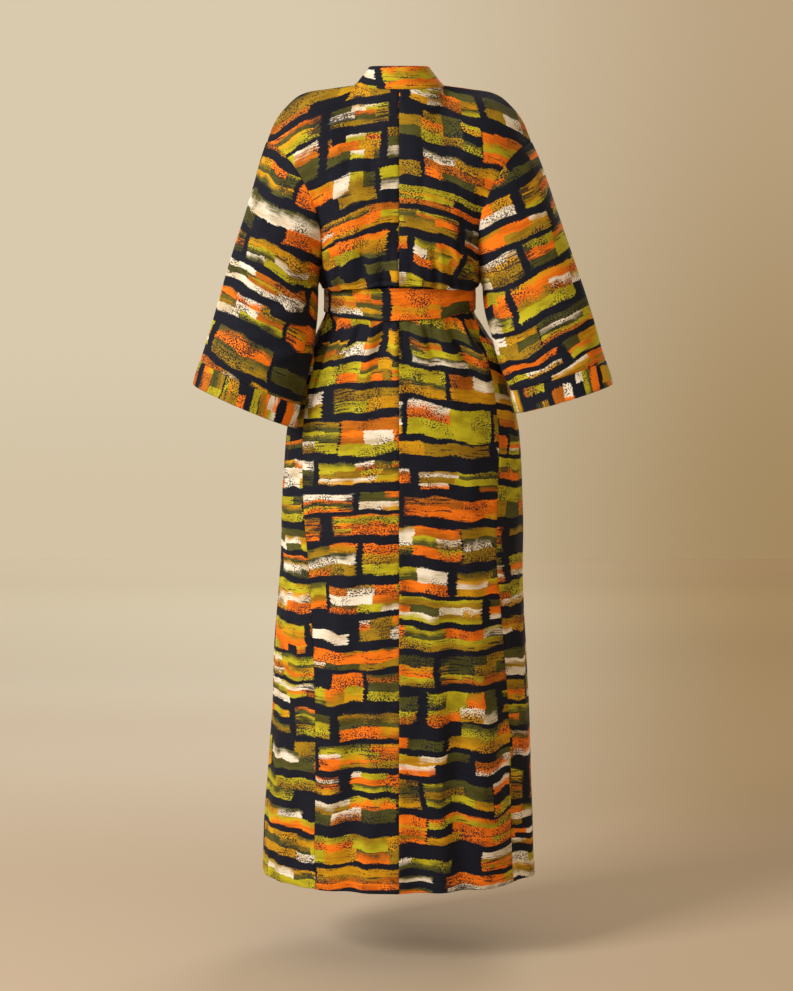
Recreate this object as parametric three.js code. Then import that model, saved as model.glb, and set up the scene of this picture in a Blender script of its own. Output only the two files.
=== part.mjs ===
// A full-length wrap kimono robe in its worn form, in millimetres, +Z up.
// The wearer faces +Y, so the back is towards -Y and the wearer's right is +X.
// The origin is on the centre plane, level with the neck ends of the shoulder
// seams, where the shoulders carry the cloth.
import * as THREE from 'three';
import { mergeVertices } from 'three/addons/utils/BufferGeometryUtils.js';

// ---------- driving sizes ----------
const CLOTH = 1.5;          // wall of one layer of cloth
const DOUBLED = 2.4;        // wall of the neckband, cuffs and belt, folded double
const SEAM = 0.3;           // clearance between two pieces at a seam
const ARMHOLE_SEAM = 0.45;  // the same at the armhole, where the seam turns sharply
const BAND_WIDTH = 45;      // neckband, seam to free edge, on the fronts
const NAPE_STAND = 40;      // height of the neckband at the nape
const CUFF_ROWS = 2;        // rows of faces up a cuff
const BELT_CLEARANCE = 1;   // belt's inner face to the cloth under it
const UNDERARM_Z = -322;    // level of the underarm point
const HEM_Z = -1399;        // level of the hem
const NECK = { halfWidth: 78, napeY: -66, napeZ: -10, throatY: 72, throatZ: -75 };
const SHOULDER = { y: -8, tipX: 230 };
const UNDERLAP = { depth: 6, fromAngle: 122, toAngle: 138 };  // the left front's dip below the right
const CHEST_ARC = 300;      // quarter round the chest at the shoulders
const FLAT_TO = 0.45;       // height on the chest where the neckband starts to stand up
const WAIST = { z: -367, reach: 95, dip: 6.5, both: 3.5 };    // the belt's line, lower behind

// columns and rows of faces
const NECK_COLUMNS = 6;
const SHOULDER_COLUMNS = 14;
const BACK_COLUMNS = NECK_COLUMNS + SHOULDER_COLUMNS;
const UPPER_ROWS = 9;
const BAND_COLUMNS = 3;
const BELT_COLUMNS = 72;
const TOP_CROWDING = 0.1;   // how much closer the upper rows lie near the shoulder

// Heights, from the underarm (0) to the shoulder (1), between which forms fade.
const RELIEF_FADE = { from: 0.55, to: 0.95 };
const UNDERLAP_FADE = { from: 0.35, to: 0.75 };

/** A table: one name for each column, one row of values for each section. */
function table(names, rows) {
  const keys = names.split(' ');
  return rows.map((row) => Object.fromEntries(row.map((value, i) => [keys[i], value])));
}

// The body below the underarm: half widths left and right of the centre plane
// and half depths behind and in front of it, at each level.
const BODY = table('z left right back front', [
  [HEM_Z, 243, 244, 162, 152],
  [-1312, 239, 241, 159, 149],
  [-1205, 231, 237, 154, 144],
  [-1097, 225, 232, 149, 138],
  [-989, 220, 227, 143, 131],
  [-845, 210, 220, 135, 122],
  [-737, 208, 219, 130, 116],
  [-612, 198, 213, 124, 109],
  [-540, 185, 198, 118, 105],
  [-466, 161, 176, 109, 100],
  [-440, 147, 156, 103, 97],
  [-412, 134, 139, 96, 94],
  [-396, 129.5, 132.5, 93, 92.5],
  [-367, 128, 131, 92, 92],
  [-338, 129.5, 132.5, 93.5, 92.5],
  [-330, 136, 139.5, 103, 98],
  [UNDERARM_Z, 136, 139, 101, 97],
]);

// Levels of the rows of faces below the underarm, and of the belt's edges and middle.
const LOWER_LEVELS = [
  HEM_Z, -1312, -1205, -1097, -989, -890, -790, -700, -615, -545, -485, -440, -412,
  -396, -367, -338, -330, UNDERARM_Z,
];
const BELT_ROWS = [-394, -367, -340];

// Angle of each side seam round from the centre back, in degrees: the skirt's
// back narrows below the belt, so its side seams show from behind.
const SIDE_SEAM = table('z left right', [
  [HEM_Z, 36, 57],
  [-1097, 40, 57],
  [-895, 46, 52],
  [-805, 50, 50],
  [-612, 59, 55],
  [-485, 64, 61],
  [-440, 70, 67],
  [-396, 79, 77],
  [-367, 84, 83],
  [-338, 88, 88],
  [UNDERARM_Z, 90, 90],
]);

// Angle of each front's seam with the neckband, past the side seam and the
// centre front, in degrees round from the centre back.
const FRONT_EDGE = table('z angle', [
  [HEM_Z, 205],
  [-700, 203],
  [-545, 198],
  [-440, 190],
  [-396, 183],
  [-338, 174],
  [UNDERARM_Z, 171.6],
]);

// The same seam on the chest: how far across from the centre front (0) to the
// armhole (1), at each height from the underarm level (0) to the shoulder (1).
const CHEST_EDGE = table('height across', [
  [0, 0.0933],
  [0.25, 0.135],
  [0.5, 0.17],
  [0.75, 0.215],
  [1, NECK_COLUMNS / BACK_COLUMNS],
]);

// The dropped shoulder: how far the seam falls below the neck end.
const SHOULDER_SLOPE = table('x z', [
  [65, 0],
  [120, -7],
  [170, -17],
  [200, -42],
  [218, -68],
  [230, -98],
]);

// The armhole, from the underarm (0) to the shoulder tip (1).
const ARMHOLE = table('height x z back front', [
  [0, 138, UNDERARM_Z, 0, 0],
  [0.2, 137, -287, -52, 50],
  [0.45, 146, -215, -84, 78],
  [0.7, 176, -148, -80, 70],
  [0.88, 207, -112, -50, 40],
  [1, SHOULDER.tipX, -98, SHOULDER.y, SHOULDER.y],
]);

// How far the cloth stands out from a straight line, up the centre back from
// the underarm level (0) to the nape (1), and up the chest.
const CENTRE_LINE = table('height back front', [
  [0, 0, 0],
  [0.35, 18, 15],
  [0.7, 21, 16],
  [1, 0, 0],
]);

// Long soft folds: a ridge that starts at one angle and level and runs down,
// widening, to another. Angles are round from the centre back, left negative.
const LONG_FOLDS = table('fromAngle toAngle fromZ toZ height spread', [
  [-8, -14, -640, HEM_Z, 7, 6],
  [-26, -31, -540, HEM_Z, 9, 7],
  [-50, -58, -700, HEM_Z, 6, 6],
  [14, 18, -600, HEM_Z, 8, 6],
  [34, 38, -520, HEM_Z, 10, 7],
  [68, 74, -650, HEM_Z, 6, 6],
  [108, 112, -560, HEM_Z, 9, 8],
  [134, 139, -600, HEM_Z, 8, 8],
  [160, 164, -560, HEM_Z, 7, 8],
  [-174, -178, -620, HEM_Z, 8, 8],
  [-150, -152, -560, HEM_Z, 8, 8],
  [-122, -118, -520, HEM_Z, 9, 8],
  [-96, -98, -660, HEM_Z, 6, 7],
]);

// Short folds on the upper back that fall from the shoulder blades to the belt.
const BLADE_FOLDS = table('angle top height spread', [
  [-40, -195, 8, 5],
  [-18, -270, 4, 4],
  [22, -250, 5, 4],
  [46, -215, 8, 5],
  [128, -240, 5, 7],
  [-132, -240, 5, 7],
]);

// Height of the belt's gathers at each level; none under the belt itself.
const GATHERS = table('z height', [
  [HEM_Z, 0],
  [-640, 0],
  [-545, 1.2],
  [-485, 2.4],
  [-440, 3.6],
  [-412, 2.6],
  [-396, 0],
  [-367, 0],
  [-338, 0],
  [-330, 3],
  [UNDERARM_Z, 2.6],
  [-290, 1.4],
  [-240, 0],
  [0, 0],
]);
const BACK_GATHERS = 20;    // gathers in a full turn at the back's spacing
const FRONT_GATHERS = 12;   // gathers in a full turn at the fronts' spacing
const GATHER_WANDER = { angle: 40, waves: 3 };                // unevenness of their spacing
const SIDE_CALM = { share: 0.9, narrowness: 8 };              // gathers fade at the sides
const BLADE_FOOT = -337;    // level the short folds end at, above the belt

// Sleeve sections from the armhole to the cuff seam: the outer and the inner
// line, the centre's place front to back and the half depth there.
const SLEEVE = {
  left: table('outerX outerZ innerX innerZ centreY halfDepth', [
    [230, -98, 136, UNDERARM_Z, -3, 80],
    [240, -125, 141.5, -340, -8, 80],
    [252, -168, 142, -362, -13, 79],
    [266, -215, 142, -385, -22, 78],
    [281, -265, 142.5, -410, -33, 75],
    [296, -318, 145, -437, -45, 71],
    [312, -372, 151, -468, -57, 66],
    [329, -425, 160, -506, -67, 62],
    [344, -475, 171, -551, -75, 60],
  ]),
  right: table('outerX outerZ innerX innerZ centreY halfDepth', [
    [230, -98, 139, UNDERARM_Z, -3, 80],
    [243, -125, 146, -340, -8, 80],
    [259, -168, 147, -362, -13, 79],
    [275, -215, 149, -385, -19, 78],
    [291, -265, 153, -408, -26, 76],
    [308, -318, 160, -432, -36, 73],
    [326, -372, 168, -460, -47, 69],
    [343, -425, 179, -492, -56, 65],
    [358, -475, 194, -527, -64, 62],
  ]),
};
const CUFF_END = {
  left: table('outerX outerZ innerX innerZ centreY halfDepth', [[357, -514, 180, -590, -78, 60]]),
  right: table('outerX outerZ innerX innerZ centreY halfDepth', [[371, -514, 203, -565, -68, 62]]),
};
const ARMHOLE_BLEND = 3;    // sections over which the armhole's form rounds out

const KNOT = { halfWidth: 31, halfDepth: 15, halfHeight: 29, squareness: 0.55, columns: 20, rows: 12 };
const TAIL = { length: 400, clearance: 12, rows: 10, columns: 3 };
const TAIL_FORM = table('down centre halfWidth', [
  [0, 17, 12],
  [0.12, 30, 22],
  [0.3, 35, 27],
  [1, 46, 27],
]);

// Directions the neckband stands in, at the shoulder seam and at the nape.
const STANDING_AT_SIDE = new THREE.Vector3(-0.62, 0.04, 0.78).normalize();
const STANDING_AT_NAPE = new THREE.Vector3(0, 0.16, 0.98).normalize();

const PRINTED = { color: 0x5f5529, roughness: 0.85, metalness: 0 };

// ---------- small helpers ----------
const radians = THREE.MathUtils.degToRad;
const mix = THREE.MathUtils.lerp;
const smoothstep = THREE.MathUtils.smoothstep;

/** Reads one column of a table at a value of its first column, on a smooth curve. */
function read(rows, column, at) {
  const key = Object.keys(rows[0])[0];
  const last = rows.length - 1;
  const x = THREE.MathUtils.clamp(at, rows[0][key], rows[last][key]);
  let i = 0;
  while (i < last - 1 && rows[i + 1][key] < x) i += 1;
  const slope = (k) => {
    const before = rows[Math.max(k - 1, 0)];
    const after = rows[Math.min(k + 1, last)];
    return (after[column] - before[column]) / (after[key] - before[key]);
  };
  const span = rows[i + 1][key] - rows[i][key];
  const t = (x - rows[i][key]) / span;
  const start = rows[i][column] * (1 + 2 * t) + slope(i) * span * t;
  const end = rows[i + 1][column] * (3 - 2 * t) - slope(i + 1) * span * (1 - t);
  return start * (1 - t) * (1 - t) + end * t * t;
}

/** An angle brought between -180 and 180 degrees. */
function turned(angle) {
  return THREE.MathUtils.euclideanModulo(angle + 180, 360) - 180;
}

/** A grid of points: rowCount + 1 rows of columnCount + 1 points each. */
function grid(rowCount, columnCount, pointAt) {
  return Array.from({ length: rowCount + 1 }, (_, r) => (
    Array.from({ length: columnCount + 1 }, (__, c) => pointAt(r, c))));
}

// ---------- the body's form ----------
/** How far folds and gathers stand out, at an angle (left negative) and level. */
function relief(angle, z) {
  const around = turned(angle);
  let height = 0;
  for (const fold of LONG_FOLDS) {
    const run = (fold.fromZ - z) / (fold.fromZ - fold.toZ);
    if (run > 0) {
      const off = turned(around - mix(fold.fromAngle, fold.toAngle, run)) / fold.spread;
      height += fold.height * Math.sin(run * Math.PI / 2) * Math.exp(-off * off);
    }
  }
  for (const fold of BLADE_FOLDS) {
    if (z > BLADE_FOOT) {
      const off = turned(around - fold.angle) / fold.spread;
      const reach = smoothstep(fold.top - z, 0, fold.top - UNDERARM_Z);
      height += fold.height * reach * Math.exp(-off * off);
    }
  }
  const size = Math.abs(around);
  const turn = size < 90 ? BACK_GATHERS * size : BACK_GATHERS * 90 + FRONT_GATHERS * (size - 90);
  const wander = GATHER_WANDER.angle * Math.sin(radians(GATHER_WANDER.waves * around));
  const calm = SIDE_CALM.share * Math.sin(radians(size)) ** SIDE_CALM.narrowness;
  return height + read(GATHERS, 'height', z) * (1 - calm) * Math.cos(radians(turn + wander));
}

/** How far the waist's levels dip at the back and rise a little in front. */
function waistDip(angle, z) {
  const c = Math.cos(radians(angle));
  const nearBelt = Math.exp(-(((z - WAIST.z) / WAIST.reach) ** 2));
  return -(WAIST.dip * c + WAIST.both * c * c) * nearBelt;
}

/** Half width and half depth of the body's ring at an angle and level. */
function ringSize(side, angle, z) {
  const ownSide = Math.sin(radians(angle)) >= 0 ? side : -side;
  return {
    width: read(BODY, ownSide > 0 ? 'right' : 'left', z),
    depth: read(BODY, Math.cos(radians(angle)) >= 0 ? 'back' : 'front', z),
  };
}

/** Puts a base point out along its angle by the relief, less an inset. */
function raised(side, angle, base, inset) {
  const out = relief(side * angle, base.z) - inset;
  return new THREE.Vector3(
    base.x + out * Math.sin(radians(angle)),
    base.y - out * Math.cos(radians(angle)),
    base.z,
  );
}

/** A bare point of the body's ring, as seen on the right-hand side. */
function ringBase(side, angle, z) {
  const { width, depth } = ringSize(side, angle, z);
  return new THREE.Vector3(
    width * Math.sin(radians(angle)),
    -depth * Math.cos(radians(angle)),
    z + waistDip(angle, z),
  );
}

/** A point of the cloth below the underarm. */
function lowerPoint(side, angle, z, inset = 0) {
  const base = ringBase(side, angle, z);
  const out = relief(side * angle, z) - inset;
  base.x += out * Math.sin(radians(angle));
  base.y -= out * Math.cos(radians(angle));
  return base;
}

/** The armhole's edge, behind or in front, from the underarm up. */
function armholeEdge(side, face, height) {
  const width = read(BODY, side > 0 ? 'right' : 'left', UNDERARM_Z);
  return new THREE.Vector3(
    read(ARMHOLE, 'x', height) + (width - ARMHOLE[0].x) * (1 - height),
    read(ARMHOLE, face, height),
    read(ARMHOLE, 'z', height),
  );
}

/** The top edge: round the neck and then out along the shoulder seam. */
function topEdge(face, across) {
  const neckShare = NECK_COLUMNS / BACK_COLUMNS;
  const startY = face === 'back' ? NECK.napeY : NECK.throatY;
  const startZ = face === 'back' ? NECK.napeZ : NECK.throatZ;
  const neckEndZ = read(SHOULDER_SLOPE, 'z', NECK.halfWidth);
  if (across < neckShare) {
    const turn = (across / neckShare) * Math.PI / 2;
    return new THREE.Vector3(
      NECK.halfWidth * Math.sin(turn),
      mix(SHOULDER.y, startY, Math.cos(turn)),
      mix(neckEndZ, startZ, Math.cos(turn)),
    );
  }
  const x = mix(NECK.halfWidth, SHOULDER.tipX, (across - neckShare) / (1 - neckShare));
  return new THREE.Vector3(x, SHOULDER.y, read(SHOULDER_SLOPE, 'z', x));
}

/** The centre line, back or front, from the underarm level to the neck. */
function centreEdge(face, start, height) {
  const end = topEdge(face, 0);
  const out = read(CENTRE_LINE, face, height) * (face === 'back' ? -1 : 1);
  return new THREE.Vector3(0, mix(start.y, end.y, height) + out, mix(start.z, end.z, height));
}

/** A point of the upper cloth: a patch blended between its four edges. */
function upperPoint(side, face, across, height, inset = 0) {
  const angleAt = (share) => (face === 'back' ? share * 90 : 180 - share * 90);
  const bottom = ringBase(side, angleAt(across), UNDERARM_Z);
  const top = topEdge(face, Math.abs(across));
  top.x *= Math.sign(across) || 1;
  const quarter = height * Math.PI / 2;
  const rise = new THREE.Vector3(height, 1 - Math.cos(quarter), Math.sin(quarter));
  const ruled = (low, high) => low.clone().add(high.clone().sub(low).multiply(rise));
  const centreStart = ringBase(side, angleAt(0), UNDERARM_Z);
  const sideStart = ringBase(side, angleAt(1), UNDERARM_Z);
  const toCentre = centreEdge(face, centreStart, height).sub(ruled(centreStart, topEdge(face, 0)));
  const toArmhole = armholeEdge(side, face, height).sub(ruled(sideStart, topEdge(face, 1)));
  const point = ruled(bottom, top);
  point.addScaledVector(toCentre, 1 - Math.abs(across));
  point.addScaledVector(toArmhole, Math.abs(across));
  const lifted = raised(side, angleAt(across), point, inset);
  return point.lerp(lifted, 1 - smoothstep(height, RELIEF_FADE.from, RELIEF_FADE.to));
}

/** How deep the left front lies below the right one, lower down and on the chest. */
function underlap(side, angle, height) {
  if (side > 0) return 0;
  const past = smoothstep(angle, UNDERLAP.fromAngle, UNDERLAP.toAngle);
  return UNDERLAP.depth * past * (1 - smoothstep(height, UNDERLAP_FADE.from, UNDERLAP_FADE.to));
}

// ---------- from grids of outer points to closed walls ----------
const SAME_SIDE = -0.3;     // cosine above which two pieces share a seam's outward direction
const pieces = [];

/** Notes a piece of cloth; a left piece is mirrored from its right-hand points. */
function addPiece(name, points, { side = 1, wall = CLOTH, ring = false, shift = {} }) {
  const rows = points.map((row) => {
    const placed = row.map((point) => new THREE.Vector3(side * point.x, point.y, point.z));
    return side < 0 ? placed.reverse() : placed;
  });
  const sides = side < 0 ? { ...shift, first: shift.last, last: shift.first } : shift;
  pieces.push({ name, rows, wall, ring, shift: sides, normals: [] });
}

/** The outward direction at each point, from its neighbours in the grid. */
function gridNormals({ rows, ring }) {
  const last = rows.length - 1;
  const columns = rows[0].length;
  return rows.map((row, r) => row.map((_, c) => {
    const before = ring ? (c + columns - 1) % columns : Math.max(c - 1, 0);
    const after = ring ? (c + 1) % columns : Math.min(c + 1, columns - 1);
    const along = row[after].clone().sub(row[before]);
    const up = rows[Math.min(r + 1, last)][c].clone().sub(rows[Math.max(r - 1, 0)][c]);
    return along.cross(up).normalize();
  }));
}

/** Gives pieces that meet at a seam the same outward direction along it. */
function shareSeamNormals() {
  const meeting = new Map();
  for (const piece of pieces) {
    piece.own = gridNormals(piece);
    piece.rows.forEach((row, r) => row.forEach((point, c) => {
      const place = point.toArray().map((value) => Math.round(value * 20)).join();
      if (!meeting.has(place)) meeting.set(place, []);
      meeting.get(place).push(piece.own[r][c]);
    }));
  }
  for (const piece of pieces) {
    piece.normals = piece.rows.map((row, r) => row.map((point, c) => {
      const place = point.toArray().map((value) => Math.round(value * 20)).join();
      const own = piece.own[r][c];
      const sum = new THREE.Vector3();
      for (const normal of meeting.get(place)) if (normal.dot(own) > SAME_SIDE) sum.add(normal);
      return sum.normalize();
    }));
  }
}

/** Draws a piece's seamed edges back, each by so many halves of the seam's clearance. */
function drawBack({ rows, shift }) {
  const last = rows.length - 1;
  const end = rows[0].length - 1;
  const moves = [];
  const draw = (point, inner, halves) => {
    moves.push([point, inner.clone().sub(point).setLength(halves * SEAM / 2)]);
  };
  rows.forEach((row, r) => {
    if (shift.first) draw(row[0], row[1], shift.first);
    if (shift.last) draw(row[end], row[end - 1], shift.last);
    if (r === 0 && shift.bottom) row.forEach((p, c) => draw(p, rows[1][c], shift.bottom));
    if (r === last && shift.top) row.forEach((p, c) => draw(p, rows[r - 1][c], shift.top));
    if (r === last && shift.by) row.forEach((p) => moves.push([p, shift.by]));
  });
  for (const [point, move] of moves) point.add(move);
}

/** A closed wall: the outer grid, the grid one wall further in, and the rims. */
function wallGeometry({ rows, normals, wall, ring }) {
  const columns = rows[0].length;
  const outer = rows.flat();
  const inner = outer.map((point, i) => (
    point.clone().addScaledVector(normals[Math.floor(i / columns)][i % columns], -wall)));
  const index = [];
  const at = (r, c) => r * columns + (c % columns);
  const under = (r, c) => outer.length + at(r, c);
  const quad = (a, b, c, d) => index.push(a, b, c, a, c, d);
  const top = rows.length - 1;
  const end = ring ? columns : columns - 1;
  for (let c = 0; c < end; c += 1) {
    for (let r = 0; r < top; r += 1) {
      quad(at(r, c), at(r, c + 1), at(r + 1, c + 1), at(r + 1, c));
      quad(under(r, c), under(r + 1, c), under(r + 1, c + 1), under(r, c + 1));
    }
    quad(at(0, c), under(0, c), under(0, c + 1), at(0, c + 1));
    quad(at(top, c), at(top, c + 1), under(top, c + 1), under(top, c));
  }
  for (let r = 0; r < top && !ring; r += 1) {
    quad(at(r, 0), at(r + 1, 0), under(r + 1, 0), under(r, 0));
    quad(at(r + 1, end), at(r, end), under(r, end), under(r + 1, end));
  }
  const positions = outer.concat(inner).flatMap((point) => point.toArray());
  const geometry = new THREE.BufferGeometry();
  geometry.setAttribute('position', new THREE.Float32BufferAttribute(positions, 3));
  geometry.setIndex(index);
  return geometry;
}

// ---------- the pieces ----------
const LOWER_ROWS = LOWER_LEVELS.length - 1;
const ROWS = LOWER_ROWS + UPPER_ROWS;

/** Height of an upper row, from the underarm (0) to the shoulder (1), closer at the top. */
function heightOf(row) {
  const share = row / UPPER_ROWS;
  return share + TOP_CROWDING * Math.sin(Math.PI * share);
}

/** One half of the back, from the centre-back seam to the side seam and armhole. */
function addBack(name, side) {
  const seam = side > 0 ? 'right' : 'left';
  const points = grid(ROWS, BACK_COLUMNS, (r, c) => {
    const share = c / BACK_COLUMNS;
    if (r > LOWER_ROWS) return upperPoint(side, 'back', share, heightOf(r - LOWER_ROWS));
    const z = LOWER_LEVELS[r];
    return lowerPoint(side, share * read(SIDE_SEAM, seam, z), z);
  });
  addPiece(name, points, { side, shift: { first: 1, last: 1, top: 1 } });
}

/** One point of a front, from its side seam (0) to its seam with the neckband (1). */
function frontPoint(side, r, share) {
  if (r > LOWER_ROWS) {
    const height = heightOf(r - LOWER_ROWS);
    const across = mix(1, read(CHEST_EDGE, 'across', height), share);
    const inset = underlap(side, 180 - 90 * across, height);
    return upperPoint(side, 'front', across, height, inset);
  }
  const z = LOWER_LEVELS[r];
  const seam = read(SIDE_SEAM, side > 0 ? 'right' : 'left', z);
  const angle = mix(seam, read(FRONT_EDGE, 'angle', z), share);
  return lowerPoint(side, angle, z, underlap(side, angle, 0));
}

/** One front, from the side seam round the body to its seam with the neckband. */
function addFront(name, side) {
  const points = grid(ROWS, SHOULDER_COLUMNS, (r, c) => frontPoint(side, r, c / SHOULDER_COLUMNS));
  addPiece(name, points, { side, shift: { first: 1, last: 1, top: 1 } });
}

/** A point of the neckband on a front, at a share of its width from the seam. */
function frontBandPoint(side, r, share) {
  const reach = BAND_WIDTH * share;
  if (r > LOWER_ROWS) {
    const height = heightOf(r - LOWER_ROWS);
    const across = read(CHEST_EDGE, 'across', height);
    const arc = mix(ringSize(side, 180, UNDERARM_Z).width * Math.PI / 2, CHEST_ARC, height);
    const beyond = across - reach / arc;
    const inset = underlap(side, 180 - 90 * across, height);
    const flat = upperPoint(side, 'front', beyond, height, inset);
    const seam = upperPoint(side, 'front', across, height, inset);
    const standing = seam.addScaledVector(STANDING_AT_SIDE, NAPE_STAND * share);
    return flat.lerp(standing, smoothstep(height, FLAT_TO, 1));
  }
  const z = LOWER_LEVELS[r];
  const angle = read(FRONT_EDGE, 'angle', z);
  const { width, depth } = ringSize(side, angle, z);
  const perRadian = Math.hypot(width * Math.cos(radians(angle)), depth * Math.sin(radians(angle)));
  const beyond = angle + THREE.MathUtils.radToDeg(reach / perRadian);
  return lowerPoint(side, beyond, z, underlap(side, beyond, 0));
}

/** A point of the neckband behind the neck, from the shoulder seam to the nape. */
function napeBandPoint(neckShare, share) {
  const seam = topEdge('back', (1 - neckShare) * (NECK_COLUMNS / BACK_COLUMNS));
  const stand = STANDING_AT_SIDE.clone().lerp(STANDING_AT_NAPE, neckShare).normalize();
  return seam.addScaledVector(stand, NAPE_STAND * share);
}

/** The neckband: one strip from the right hem, round the nape, to the left hem. */
function addNeckband() {
  const stations = 2 * (ROWS + NECK_COLUMNS);
  const points = grid(BAND_COLUMNS, stations, (row, station) => {
    const side = station <= stations / 2 ? 1 : -1;
    const along = Math.min(station, stations - station);
    const share = row / BAND_COLUMNS;
    const point = along <= ROWS
      ? frontBandPoint(side, along, share)
      : napeBandPoint((along - ROWS) / NECK_COLUMNS, share);
    point.x *= side;
    return point;
  });
  points.forEach((row) => row.reverse());
  addPiece('neckband', points, { wall: DOUBLED, shift: { bottom: 3 } });
}

/** Points round a sleeve's section: underarm, back, outer line, front. */
function sleeveSection(section, firstY, armhole, blend) {
  const count = armhole.length;
  return armhole.map((rim, i) => {
    const turn = (i / count) * 2 * Math.PI;
    const share = (1 - Math.cos(turn)) / 2;
    const round = new THREE.Vector3(
      mix(section.innerX, section.outerX, share),
      section.centreY - section.halfDepth * Math.sin(turn),
      mix(section.innerZ, section.outerZ, share),
    );
    const outShare = (rim.x - armhole[0].x) / (SHOULDER.tipX - armhole[0].x);
    const upShare = (rim.z - UNDERARM_Z) / (armhole[count / 2].z - UNDERARM_Z);
    const carried = new THREE.Vector3(
      mix(section.innerX, section.outerX, outShare),
      section.centreY - firstY + rim.y,
      mix(section.innerZ, section.outerZ, upShare),
    );
    return carried.lerp(round, blend);
  });
}

/** A sleeve and its cuff, one tube each, seamed at the armhole and the cuff. */
function addSleeve(side, sleeveName, cuffName) {
  const which = side > 0 ? 'right' : 'left';
  const behind = Array.from({ length: UPPER_ROWS + 1 }, (_, k) => heightOf(k));
  const before = behind.slice(1, -1).reverse();
  const armhole = [
    ...behind.map((height) => upperPoint(side, 'back', 1, height)),
    ...before.map((height) => upperPoint(side, 'front', 1, height)),
  ];
  const firstY = SLEEVE[which][0].centreY;
  const sections = SLEEVE[which].map((section, k) => (
    k === 0 ? armhole : sleeveSection(section, firstY, armhole, smoothstep(k, 0, ARMHOLE_BLEND))));
  const end = sleeveSection(CUFF_END[which][0], firstY, armhole, 1);
  const cuffTop = sections[sections.length - 1];
  const cuff = grid(CUFF_ROWS, armhole.length - 1, (r, c) => (
    end[c].clone().lerp(cuffTop[c], r / CUFF_ROWS)));
  const rise = armhole[0].clone().sub(armhole[armhole.length / 2]);
  const outward = new THREE.Vector3(-rise.z, 0, rise.x).setLength(ARMHOLE_SEAM);
  outward.x = Math.abs(outward.x) * side;
  outward.z = -Math.abs(outward.z);
  const sleeve = sections.reverse().map((ring) => ring.map((point) => point.clone()));
  addPiece(sleeveName, sleeve, { side, ring: true, shift: { bottom: 1, by: outward } });
  addPiece(cuffName, cuff, { side, ring: true, wall: DOUBLED, shift: { top: 1 } });
}

/** The belt: the waist's own points moved out, closed behind the knot. */
function addBelt() {
  const out = BELT_CLEARANCE + DOUBLED;
  const points = grid(BELT_ROWS.length - 1, BELT_COLUMNS - 1, (r, c) => (
    lowerPoint(1, (c / BELT_COLUMNS) * 360, BELT_ROWS[r], -out)));
  addPiece('belt', points, { ring: true, wall: DOUBLED });
}

/** One hanging end of the belt, from the knot down over the fronts. */
function addBeltTail(name, side, knotFoot) {
  const points = grid(TAIL.rows, TAIL.columns, (r, c) => {
    const down = 1 - r / TAIL.rows;
    const z = knotFoot - SEAM - down * TAIL.length;
    const halfWidth = read(TAIL_FORM, 'halfWidth', down);
    const x = read(TAIL_FORM, 'centre', down) + mix(halfWidth, -halfWidth, c / TAIL.columns);
    const { width } = ringSize(side, 180, z);
    const angle = 180 - THREE.MathUtils.radToDeg(Math.asin(x / width));
    const point = lowerPoint(side, angle, z, -TAIL.clearance - DOUBLED);
    point.z = z;
    return point;
  });
  addPiece(name, points, { side, wall: DOUBLED });
}

/** The knot: a soft block that stands on the belt at the centre front. */
function knotGeometry(centre) {
  const geometry = new THREE.SphereGeometry(1, KNOT.columns, KNOT.rows);
  geometry.rotateX(Math.PI / 2);
  const position = geometry.attributes.position;
  const soften = (value) => Math.sign(value) * Math.abs(value) ** KNOT.squareness;
  for (let i = 0; i < position.count; i += 1) {
    const x = soften(position.getX(i)) * KNOT.halfWidth;
    const y = soften(position.getY(i)) * KNOT.halfDepth;
    const z = soften(position.getZ(i)) * KNOT.halfHeight;
    position.setXYZ(i, centre.x + x, centre.y + y, centre.z + z);
  }
  geometry.deleteAttribute('normal');
  geometry.deleteAttribute('uv');
  return mergeVertices(geometry, 1e-3);
}

/** A named mesh with the printed cloth's plain colour. */
function clothMesh(name, geometry) {
  const mesh = new THREE.Mesh(geometry, new THREE.MeshStandardMaterial(PRINTED));
  mesh.name = name;
  return mesh;
}

addBack('back_left', -1);
addBack('back_right', 1);
addFront('front_left', -1);
addFront('front_right', 1);
addNeckband();
addSleeve(-1, 'sleeve_left', 'cuff_left');
addSleeve(1, 'sleeve_right', 'cuff_right');
addBelt();

const beltFront = lowerPoint(1, 180, BELT_ROWS[1], -BELT_CLEARANCE - DOUBLED);
const knotCentre = beltFront.clone();
knotCentre.y += SEAM + KNOT.halfDepth;
const knotFoot = knotCentre.z - KNOT.halfHeight;
addBeltTail('belt_tail_left', -1, knotFoot);
addBeltTail('belt_tail_right', 1, knotFoot);

shareSeamNormals();
pieces.forEach(drawBack);

const robe = new THREE.Group();
for (const piece of pieces) robe.add(clothMesh(piece.name, wallGeometry(piece)));
robe.add(clothMesh('belt_knot', knotGeometry(knotCentre)));

export default robe;
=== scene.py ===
# %% [markdown]
# # A wrap kimono robe in printed cotton, seen from behind
#
# The robe is shown as it is worn: it hangs from the shoulders, a tied belt
# gathers it at the waist, and the skirt falls in long soft folds. Every piece of
# cloth is a surface worked out on a grid of two parameters, one round the body
# and one up it. A cloth simulation could drop the panels on a body, but it would
# move the seams, so the main folds are placed one by one and stay where they are.
# The sizes are in millimetres until a mesh is made, and the wearer faces +Y.

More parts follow.
